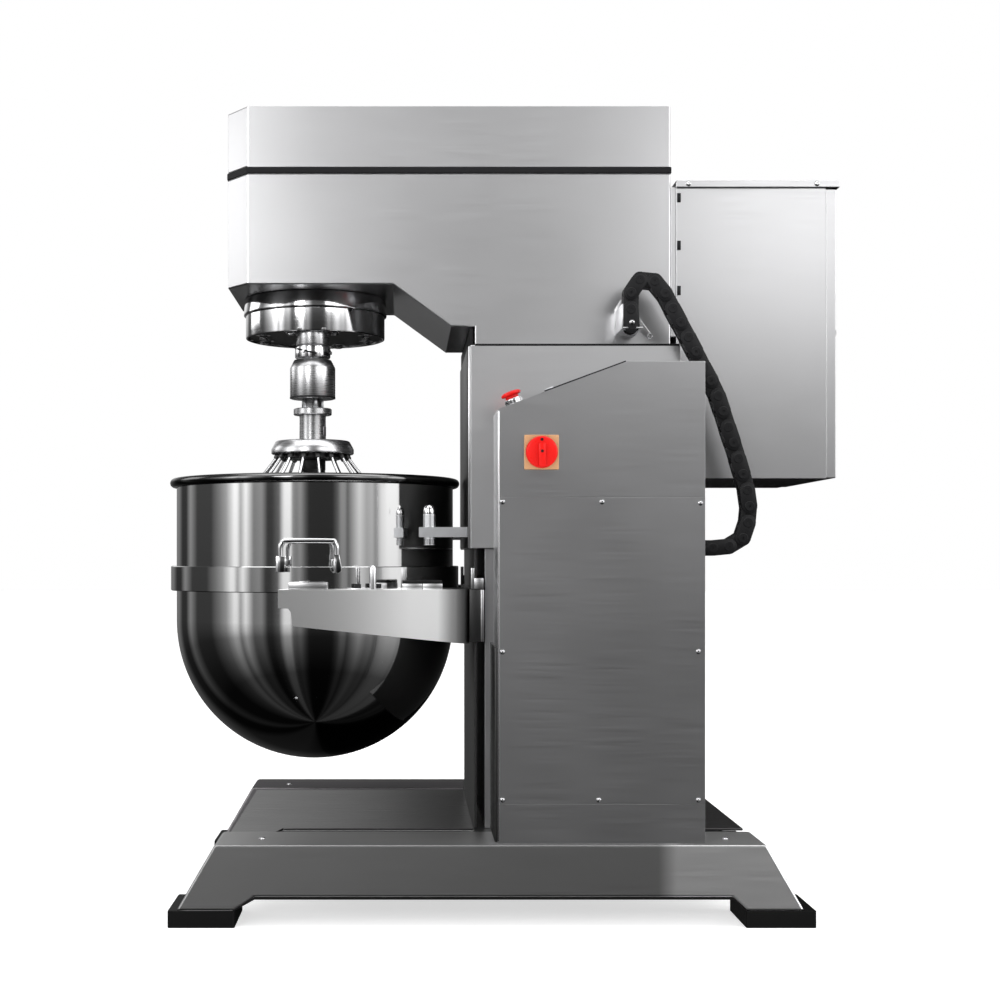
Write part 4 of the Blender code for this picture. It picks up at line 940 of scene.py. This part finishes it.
def build_carrier():
    """Chain links spread evenly along the route and baked in place; the share of the lift worked out
    for each is not used.
    """
    line = smooth_line([(x, CARRIER_Y, z) for x, z in CARRIER_ROUTE], 8)
    lengths = arc_table(line)
    total = lengths[-1]
    count = round(total / CARRIER_PITCH)
    pitch = total / count
    half = CARRIER_WIDTH / 2
    cheek = 0.0027
    for k in range(count):
        a = at_length(line, lengths, k * pitch)
        b = at_length(line, lengths, (k + 1) * pitch)
        share = 1.0 - (k + 0.5) / count
        share = (share - CARRIER_END_SHARE) / (1 - 2 * CARRIER_END_SHARE)
        share = min(1.0, max(0.0, share))
        outer = k % 2 == 0
        bm = bmesh.new()
        for sign in (-1, 1):
            y0 = sign * (half - (0.0028 if outer else 0.0056))
            loop = [p + Vector((0, y0, 0)) for p in stadium(a, b, CARRIER_HALF)]
            prism(bm, loop, (0, sign * cheek, 0), 0.0008)
            for p in (a, b) if outer else ():
                turn = facing((p.x, CARRIER_Y + y0 + sign * cheek, p.z), (0, sign, 0))
                lathe(bm, [(0.0028, 0.0011), (0.0090, 0.0011), (0.0098, 0.0004),
                           (0.0098, -0.0010), (0.0028, -0.0010)], count=24, turn=turn)
        along = (b - a).normalized()
        side = Vector((-along.z, 0, along.x))
        for offset in (-1, 1):
            mid = (a + b) / 2 + side * offset * (CARRIER_HALF - 0.0030)
            turn = Matrix.Translation(mid) @ Matrix((
                (along.x, 0, side.x, 0), (0, 1, 0, 0), (along.z, 0, side.z, 0), (0, 0, 0, 1)))
            block(bm, (-0.0105, -half + 0.004, -0.0016), (0.0105, half - 0.004, 0.0016), 0.0008,
                  turn)
        link = piece(f"carrier_link_{k:02d}", bm, BLACK, None,
                     ("cable_carrier",) if k == 0 else ())
        blend_rigid(link, share)


def blend_rigid(obj, share):
    """Finds where a smooth blend has the value share, then bakes the piece's transform into its mesh.

    The value found is not used: the rigid piece, with no bend along it, follows no body.
    """
    t = 0.5
    for _ in range(40):
        value = t * t * (3 - 2 * t) - share
        slope = 6 * t * (1 - t)
        if slope < 1e-6:
            break
        t = min(1.0, max(0.0, t - value / slope))
    if share <= 0.0:
        t = -0.5
    elif share >= 1.0:
        t = 1.5
    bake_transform(obj)


def build_carrier_mounts():
    """The bent plate that carries the moving end on the head, and the screws of the fixed end's clip.
    """
    bm = bmesh.new()
    pin_x, pin_z = 0.2587, 1.1640
    gusset = ((0.2380, 1.1515), (0.2480, 1.1515), (0.2600, 1.1930), (0.2600, 1.2190),
              (0.2500, 1.2240), (0.2380, 1.2050))
    strap = ((0.2700, 1.1900), (0.2820, 1.1960), (0.3160, 1.1500), (0.3040, 1.1430))
    prism(bm, [(x, BRACKET_Y, z) for x, z in gusset], (0, -BRACKET_T, 0), 0.0008)
    block(bm, (0.2388, -0.3160, 1.1517), (0.2800, BRACKET_Y, 1.1547), 0.0010)
    block(bm, (0.2388, -0.3160, 1.1520), (0.2412, -0.2140, 1.2000), 0.0008)
    prism(bm, [(x, BRACKET_Y, z) for x, z in strap], (0, -BRACKET_T, 0), 0.0008)
    piece("carrier_mount_head", bm, BRUSHED_UP, "head",
          ("carrier_bracket_head",))
    bm = bmesh.new()
    for x, z in ((0.2470, 1.1580), (0.3090, 1.1500)):
        socket_bolt(bm, (x, BRACKET_Y - 0.0032, z), NEAR, 0.0052, 0.0050)
    dome_screw(bm, (pin_x, -0.3165, pin_z), NEAR, 0.0042, 0.0024)
    piece("carrier_mount_screws", bm, BOLT, "head")
    dome_screws("carrier_clip_screws", [(0.3853, -0.3020, z) for z in (0.7050, 0.7330)],
                (1, 0, 0), 0.0042, 0.0026, BOLT, "frame")


# ---- studio
# Brightness by direction: height is the sine of the elevation, bearing is in degrees from the
# lens side, positive towards the rear cabinet.
HEIGHT_TONES = (
    (-1.0, 0.008), (-0.65, 0.012), (-0.45, 0.04), (-0.20, 0.085), (-0.05, 0.21), (0.06, 0.31),
    (0.11, 0.52), (0.16, 0.95), (0.22, 1.20), (0.28, 0.90), (0.50, 0.50), (1.0, 0.35))
LEFT_TONES = (
    (-180, 0.30), (-172, 0.85), (-150, 0.80), (-139, 0.15), (-129, 0.15), (-121, 1.20),
    (-110, 0.22), (-91, 0.22), (-81, 0.90), (-74, 1.60), (-69, 3.20), (-66, 4.50), (-63, 4.30),
    (-60, 1.80), (-55, 4.40), (-51, 2.40), (-48, 0.95), (-41, 1.25), (-36, 0.20), (-32, 0.20),
    (-26, 0.60), (-22, 4.00), (-17, 4.20), (-15, 1.20), (-12, 0.95), (-9, 1.30), (-5, 0.45),
    (-2, 0.12), (0, 0.12))
RIGHT_TONES = (
    (0, 0.12), (17, 0.12), (21, 0.45), (24, 1.25), (27, 1.20), (29, 0.50), (34, 1.70),
    (39, 3.00), (45, 1.80), (50, 2.10), (53, 1.20), (58, 3.40), (64, 4.30), (73, 4.30),
    (76, 3.20), (80, 4.20), (88, 4.10), (91, 1.00), (96, 0.45), (102, 0.40), (106, 0.80),
    (111, 0.45), (115, 0.60), (119, 0.08), (126, 0.02), (150, 0.02), (176, 0.03), (180, 0.12))


def area(name, location, target, size, radiance):
    """A soft box whose face has the given radiance."""
    data = bpy.data.lights.new(name, "AREA")
    data.shape = "RECTANGLE"
    data.size, data.size_y = size
    data.energy = radiance * math.pi * size[0] * size[1]
    obj = in_scene(bpy.data.objects.new(name, data))
    obj.location = location
    obj.rotation_mode = "QUATERNION"
    obj.rotation_quaternion = (Vector(target) - Vector(location)).to_track_quat("-Z", "Y")
    obj.visible_camera = False
    return obj


def maths(nodes, links, operation, *values):
    """A maths node over sockets and numbers."""
    node = nodes.new("ShaderNodeMath")
    node.operation = operation
    for socket, value in zip(node.inputs, values):
        if isinstance(value, float):
            socket.default_value = value
        else:
            links.new(value, socket)
    return node.outputs["Value"]


def build_world():
    """White to the lens; for light and reflections, a studio of strips, dark below."""
    world = bpy.data.worlds.new("studio")
    bpy.context.scene.world = world
    world.use_nodes = True
    nodes, links = world.node_tree.nodes, world.node_tree.links
    nodes.clear()
    coord = nodes.new("ShaderNodeTexCoord")
    split = nodes.new("ShaderNodeSeparateXYZ")
    links.new(coord.outputs["Generated"], split.inputs["Vector"])
    height = curve_of(nodes, links, split.outputs["Z"], HEIGHT_TONES)
    front = maths(nodes, links, "MULTIPLY", split.outputs["Y"], -1.0)
    bearing = maths(nodes, links, "ARCTAN2", split.outputs["X"], front)
    degrees = maths(nodes, links, "DEGREES", bearing)
    left = curve_of(nodes, links, degrees, LEFT_TONES)
    right = curve_of(nodes, links, degrees, RIGHT_TONES)
    side = maths(nodes, links, "GREATER_THAN", degrees, 0.0)
    bands = nodes.new("ShaderNodeMix")
    bands.data_type = "RGBA"
    links.new(side, bands.inputs[0])
    links.new(left, bands.inputs[6])
    links.new(right, bands.inputs[7])
    product = nodes.new("ShaderNodeVectorMath")
    product.operation = "MULTIPLY"
    links.new(height, product.inputs[0])
    links.new(bands.outputs[2], product.inputs[1])
    studio = nodes.new("ShaderNodeBackground")
    links.new(product.outputs["Vector"], studio.inputs["Color"])
    white = nodes.new("ShaderNodeBackground")
    white.inputs["Color"].default_value = (1, 1, 1, 1)
    path = nodes.new("ShaderNodeLightPath")
    mix = nodes.new("ShaderNodeMixShader")
    links.new(path.outputs["Is Camera Ray"], mix.inputs["Fac"])
    links.new(studio.outputs["Background"], mix.inputs[1])
    links.new(white.outputs["Background"], mix.inputs[2])
    out = nodes.new("ShaderNodeOutputWorld")
    links.new(mix.outputs["Shader"], out.inputs["Surface"])


def only_on(light, name):
    """Keeps a light to one object, through Blender's light linking."""
    lit = bpy.data.collections.new(name + "_lit")
    lit.objects.link(bpy.data.objects[name])
    light.light_linking.receiver_collection = lit


def build_studio():
    build_world()
    bm = bmesh.new()
    bmesh.ops.create_grid(bm, x_segments=1, y_segments=1, size=30.0)
    mesh = bpy.data.meshes.new("floor")
    bm.to_mesh(mesh)
    bm.free()
    floor = in_scene(bpy.data.objects.new("floor", mesh))
    mat, nodes, links, bsdf = shader("pale_floor")
    tone = noise(nodes, links, 2.0, (1.0, 1.0, 1.0))
    links.new(two_tone(nodes, links, tone, (0.93, 0.93, 0.93), (0.95, 0.95, 0.95)),
              bsdf.inputs["Base Color"])
    put(bsdf, {"Roughness": 0.9, "Specular IOR Level": 0.1, "Emission Color": (1, 1, 1, 1),
               "Emission Strength": 0.60})
    mesh.materials.append(mat)
    floor.visible_glossy = False

    only_on(area("fork_glow", (0.32, -1.75, 0.54), (-0.16, -0.34, 0.585), (0.5, 0.3), 1.6),
            "fork_body")
    only_on(area("sleeve_glow", (0.25, -3.2, 1.10), (0.05, -0.27, 0.90), (1.4, 1.3), 0.16),
            "column_sleeve")

    area("top_soft", (0.0, -0.4, 4.2), (0.0, 0.0, 0.6), (5.0, 4.0), 1.7)
    area("key_left", (-1.75, -3.4, 2.15), (-0.45, -0.2, 1.40), (0.9, 1.1), 6.0)
    area("key_right", (1.50, -3.6, 2.25), (0.50, -0.2, 1.25), (1.2, 1.0), 2.2)
    area("left_back", (-3.3, 1.2, 2.1), (-0.56, -0.15, 1.4), (1.6, 1.2), 1.4)


def build_camera():
    data = bpy.data.cameras.new("camera")
    data.lens = 57.24
    data.sensor_width = 36.0
    data.shift_x = 0.097
    data.shift_y = 0.058
    data.clip_start, data.clip_end = 0.05, 100.0
    camera = in_scene(bpy.data.objects.new("camera", data))
    camera.location = (-0.193, -3.45, 0.699)
    camera.rotation_euler = (math.pi / 2, 0, 0)
    bpy.context.scene.camera = camera
    bpy.context.scene.view_settings.view_transform = "Standard"


finish_cad()
build_bowl()
for side_name, side_sign in SIDES:
    build_bowl_handle(side_name, side_sign)
build_whisk()
build_coupling()
build_drum()
build_fork()
for side_name, side_sign in SIDES:
    build_hold_down(side_name, side_sign)
build_panel_screws()
build_trim()
build_controls()
build_carrier()
build_carrier_mounts()
build_studio()
build_camera()
